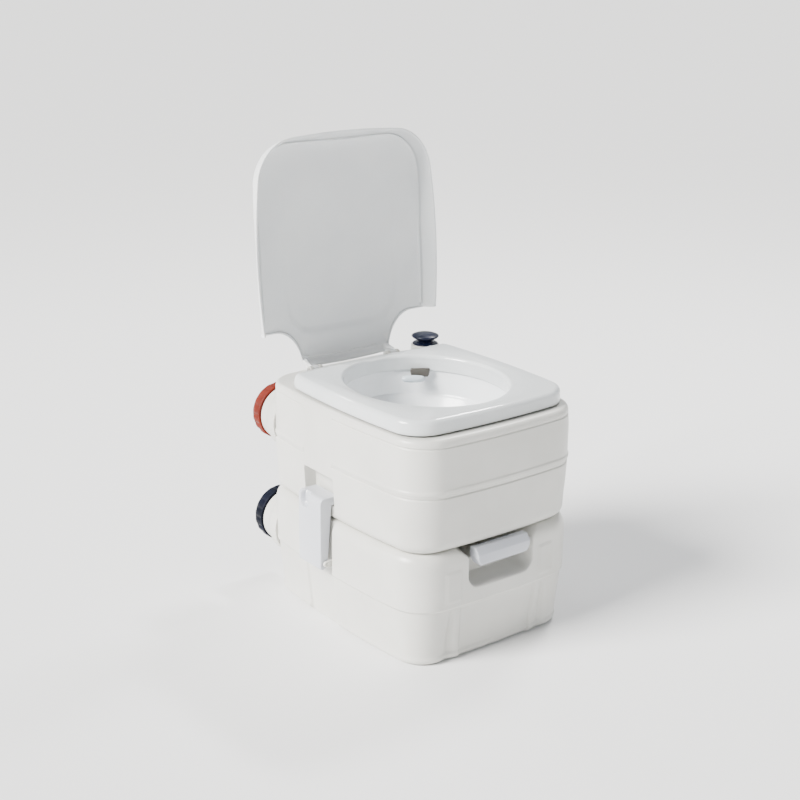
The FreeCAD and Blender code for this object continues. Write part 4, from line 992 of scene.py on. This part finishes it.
def latch_rings(side):
    """A slab ruled between an outer and an inner line, 60 mm wide, with a D-shaped thumb scoop."""
    foot, top, face = latch_low[2], latch_high[2], -latch_low[0]
    outer = np.array([(face - 3, foot), (face - 0.6, foot + 0.8), (face, foot + 3), (face, top - 9),
                      (face - 0.7, top - 4.5), (face - 3.5, top - 1), (face - 8, top), (face - 33, top)])
    inner = np.array([(face - 7, foot), (face - 9, foot + 1), (face - 13.5, foot + 6), (face - 20, top - 28),
                      (face - 21, top - 16), (face - 21.5, top - 14), (face - 22, top - 13.4),
                      (face - 33, top - 13.4)])
    station = np.array([0, 0.01, 0.03, 0.66, 0.72, 0.77, 0.82, 1.0])
    fine = np.concatenate([[0, 0.003, 0.01, 0.02, 0.03], np.linspace(0.05, 0.6, 34),
                           np.linspace(0.61, 0.84, 30), np.linspace(0.86, 0.985, 7), [0.995, 1.0]])
    outside = np.stack([np.interp(fine, station, outer[:, part]) for part in range(2)], axis=-1)
    inside = np.stack([np.interp(fine, station, inner[:, part]) for part in range(2)], axis=-1)
    middle, half = (outside + inside) / 2, (outside - inside) / 2
    thick = np.linalg.norm(half, axis=-1)
    ring = loop_of(thick, np.full(len(thick), (latch_high[1] - latch_low[1]) / 2), 1.6,
                   LATCH_AROUND)
    long_side = np.linspace(-1, 1, 40)[1:-1]
    quarter = LATCH_AROUND // 4
    wide = [ring[:, part * quarter:(part + 1) * quarter] for part in range(4)]

    def between(first, second, sign):
        """More points along a long side, between two corner arcs."""
        part = ((long_side * sign + 1) / 2)[None, :, None]
        return first[:, None] * (1 - part) + second[:, None] * part

    ring = np.concatenate([wide[3], between(wide[3][:, -1], wide[0][:, 0], 1), wide[0], wide[1],
                           between(wide[1][:, -1], wide[2][:, 0], 1), wide[2]], axis=1)
    way = half / thick[:, None]
    x = middle[:, None, 0] + ring[..., 0] * way[:, None, 0]
    z = middle[:, None, 1] + ring[..., 0] * way[:, None, 1]
    y = LATCH_MIDDLE + ring[..., 1]
    down = (top + 1 - z) / 24
    across = (y - LATCH_MIDDLE - 13) / 9
    bowl_shape = (1 - step(np.hypot(across, np.maximum(down - 0.62, 0) / 0.38), 1, 0.35))
    press = 8.0 * bowl_shape * step(x, face - 8, 4) * step(across, -1.05, 0.1)
    return np.stack([side * (x - press), y, z], axis=-1)


for side, label in ((-1, "left"), (1, "right")):
    latch = skin(f"latch_lever_{label}", latch_rings(side), crease=38)
    dress(latch, cool_polypropylene, f"latch_{label}", "latch_plastic", f"latch_{label}")

# %% Valve handle
handle_low, handle_high = box_mm("valve_handle")


def handle_rings():
    """Sections along x: a front face leaning back over a chamfer, with the ends drawn in below."""
    half = handle_high[0]
    ends = 1.6
    front, rear = handle_low[1], handle_high[1]
    foot, top = handle_low[2], handle_high[2]
    section = rounded_profile([(rear - 4, top), (rear, top - 1.5), (rear, foot + 2), (rear - 2, foot),
                               (front + 4, foot), (front, foot + 3.5), (front, top - 10), (front + 7.5, top),
                               (rear - 4, top)], 1.3, 5)
    section = closely(section, 1.2)[:-1]
    middle = np.array([(front + rear) / 2, (foot + top) / 2])
    along = np.concatenate([[0, 0.2, 0.6, 1.1, 1.6], np.linspace(4, 2 * half - 4, 30),
                            2 * half - np.array([1.6, 1.1, 0.6, 0.2, 0])])
    from_end = np.minimum(along, 2 * half - along)
    draw = np.where(from_end < ends, ends - np.sqrt(np.maximum(ends ** 2 - (ends - from_end) ** 2, 0)), 0)
    scale_y = 1 - draw / (rear - front) * 2
    scale_z = 1 - draw / (top - foot) * 2
    y = middle[0] + (section[None, :, 0] - middle[0]) * scale_y[:, None]
    z = middle[1] + (section[None, :, 1] - middle[1]) * scale_z[:, None]
    narrow = 1 - 7 / half * np.clip((foot + 12 - z) / 12, 0, 1)
    return np.stack([(along - half)[:, None] * narrow, y, z], axis=-1)


handle = skin("valve_handle_grip", handle_rings(), crease=38)
dress(handle, cool_polypropylene, "slide_valve", "latch_plastic", "valve_handle")

# %% [markdown]
# ## The flush nozzle
#
# Under the seat's back edge the rinse water leaves through a pale translucent nose held by a dark
# bracket. Both are small slabs carried along a line that is tangent to the bowl's wall.

# %% Flush nozzle and bracket
NOZZLE_WAY = np.radians(58)
nozzle_low, nozzle_high = box_mm("flush_nozzle")
outward = np.array([np.cos(NOZZLE_WAY), np.sin(NOZZLE_WAY), 0.0])
tangent = np.array([-outward[1], outward[0], 0.0])
nozzle_middle = (nozzle_low + nozzle_high) / 2
rise = np.array([0.0, 0.0, 1.0])
reach = np.linspace(-0.95, 0.95, 14)
swell = np.sqrt(1 - reach ** 2)
nose_line = nozzle_middle + (4 + 19.5 * reach)[:, None] * tangent + rise * 7
nose = skin("flush_nose", slab(nose_line, 2 + 4.5 * swell, 2 + 4.0 * swell, 6.0, outward, rise, around=48),
            crease=70)
dress(nose, pale_acetal, "tanks", "grey_plastic", "flush_nozzle")
drop_line = nozzle_middle - tangent * 7.5 + outward * 10 + np.array([22, 16, 11, 8, 6])[:, None] * rise
yoke = skin("nozzle_yoke", slab(drop_line, 3.0, np.array([16, 16, 15, 13, 9]), 2.5, outward, tangent,
                                around=48), crease=40)
dress(yoke, dark_plastic, "tanks", "dark_plastic", "nozzle_bracket")

# %% [markdown]
# ## Pieces that keep their own meshes
#
# Pins, rods, plates, the blade, the seals and the hose are turned, drawn or cut pieces whose plain
# shapes are right as they are. They only need the finish that their slot calls for.

# %% Finish the carried-over nodes
slot_of_node = {entry["node"]: entry["material_slot"] for entry in frame["record"]["subparts"]}
for node, piece in frame["nodes"].items():
    piece.data.materials.clear()
    piece.data.materials.append(FINISH_OF_SLOT[slot_of_node[node]])
print("nodes with a finish:", len(slot_of_node))

# %% [markdown]
# ## The studio
#
# A pale floor under a cool sky that is bright low down and dim overhead, as round a product table. The
# key is a broad sun, slightly warm, from the left, so that side reads lighter than the front. A small
# soft box on the right and a narrow strip behind and in front give the glossy pieces their streaks.

# %% Floor, light and camera
floor_mesh = bpy.data.meshes.new("floor")
REACH = 40.0
floor_mesh.from_pydata([(-REACH, -REACH, 0), (REACH, -REACH, 0), (REACH, REACH, 0), (-REACH, REACH, 0)],
                       [], [(0, 1, 2, 3)])
floor = bpy.data.objects.new("floor", floor_mesh)
bpy.context.collection.objects.link(floor)
floor_paint = bpy.data.materials.new("matt_white_board")
floor_paint.use_nodes = True
floor_paint.node_tree.nodes["Principled BSDF"].inputs["Base Color"].default_value = linear("#EEEEEE")
floor_paint.node_tree.nodes["Principled BSDF"].inputs["Roughness"].default_value = 0.7
floor.data.materials.append(floor_paint)

world = bpy.data.worlds.new("studio")
bpy.context.scene.world = world
world.use_nodes = True
sky = world.node_tree
sky.nodes["Background"].inputs["Color"].default_value = (0.93, 0.96, 1.0, 1.0)
height = add(sky, "ShaderNodeSeparateXYZ", links={"Vector": (add(sky, "ShaderNodeTexCoord"), "Generated")})
glow = add(sky, "ShaderNodeMapRange", {"From Min": 0.05, "From Max": 0.4, "To Min": 1.5, "To Max": 0.34},
           {"Value": (height, "Z")})
sky.links.new(glow.outputs["Result"], sky.nodes["Background"].inputs["Strength"])


def aimed(name, kind, place, aim, energy):
    """A light of a kind at a place, turned to face a point."""
    data = bpy.data.lights.new(name, kind)
    data.energy = energy
    light = bpy.data.objects.new(name, data)
    light.location = place
    light.rotation_euler = (Vector(aim) - Vector(place)).to_track_quat("-Z", "Y").to_euler()
    bpy.context.collection.objects.link(light)
    return data


middle = (0.0, 0.0, 0.3)
key = aimed("key_left", "SUN", (-3.2, 0.5, 2.6), middle, 11.5)
key.angle = np.radians(26)
key.color = (1.0, 0.985, 0.955)
for name, place, wide, tall, energy in (("soft_box_right", (1.7, 0.6, 2.6), 0.6, 0.22, 62),
                                        ("strip_back", (-0.3, 2.2, 2.1), 0.9, 0.12, 16),
                                        ("strip_front", (-0.2, -2.4, 2.0), 0.5, 0.10, 4)):
    strip = aimed(name, "AREA", place, middle, energy)
    strip.shape = "RECTANGLE"
    strip.size = wide
    strip.size_y = tall

# %% Camera
AZIMUTH, ELEVATION, ROLL = np.radians([-37.436, 18.133, 0.53])
DISTANCE, LENS = 2.258, 65.54
aim = np.array([-0.037, 0.0, 0.352])
back = np.array([np.sin(AZIMUTH) * np.cos(ELEVATION), -np.cos(AZIMUTH) * np.cos(ELEVATION),
                 np.sin(ELEVATION)])
right = np.cross(-back, (0, 0, 1))
right /= np.linalg.norm(right)
up = np.cross(right, -back)
rolled_right = np.cos(ROLL) * right + np.sin(ROLL) * up
rolled_up = -np.sin(ROLL) * right + np.cos(ROLL) * up
camera_data = bpy.data.cameras.new("camera")
camera_data.lens = LENS
camera_data.sensor_width = 36
camera = bpy.data.objects.new("camera", camera_data)
matrix = np.eye(4)
matrix[:3, 0], matrix[:3, 1], matrix[:3, 2] = rolled_right, rolled_up, back
matrix[:3, 3] = aim + back * DISTANCE
camera.matrix_world = Matrix(matrix.tolist())
bpy.context.collection.objects.link(camera)
bpy.context.scene.camera = camera
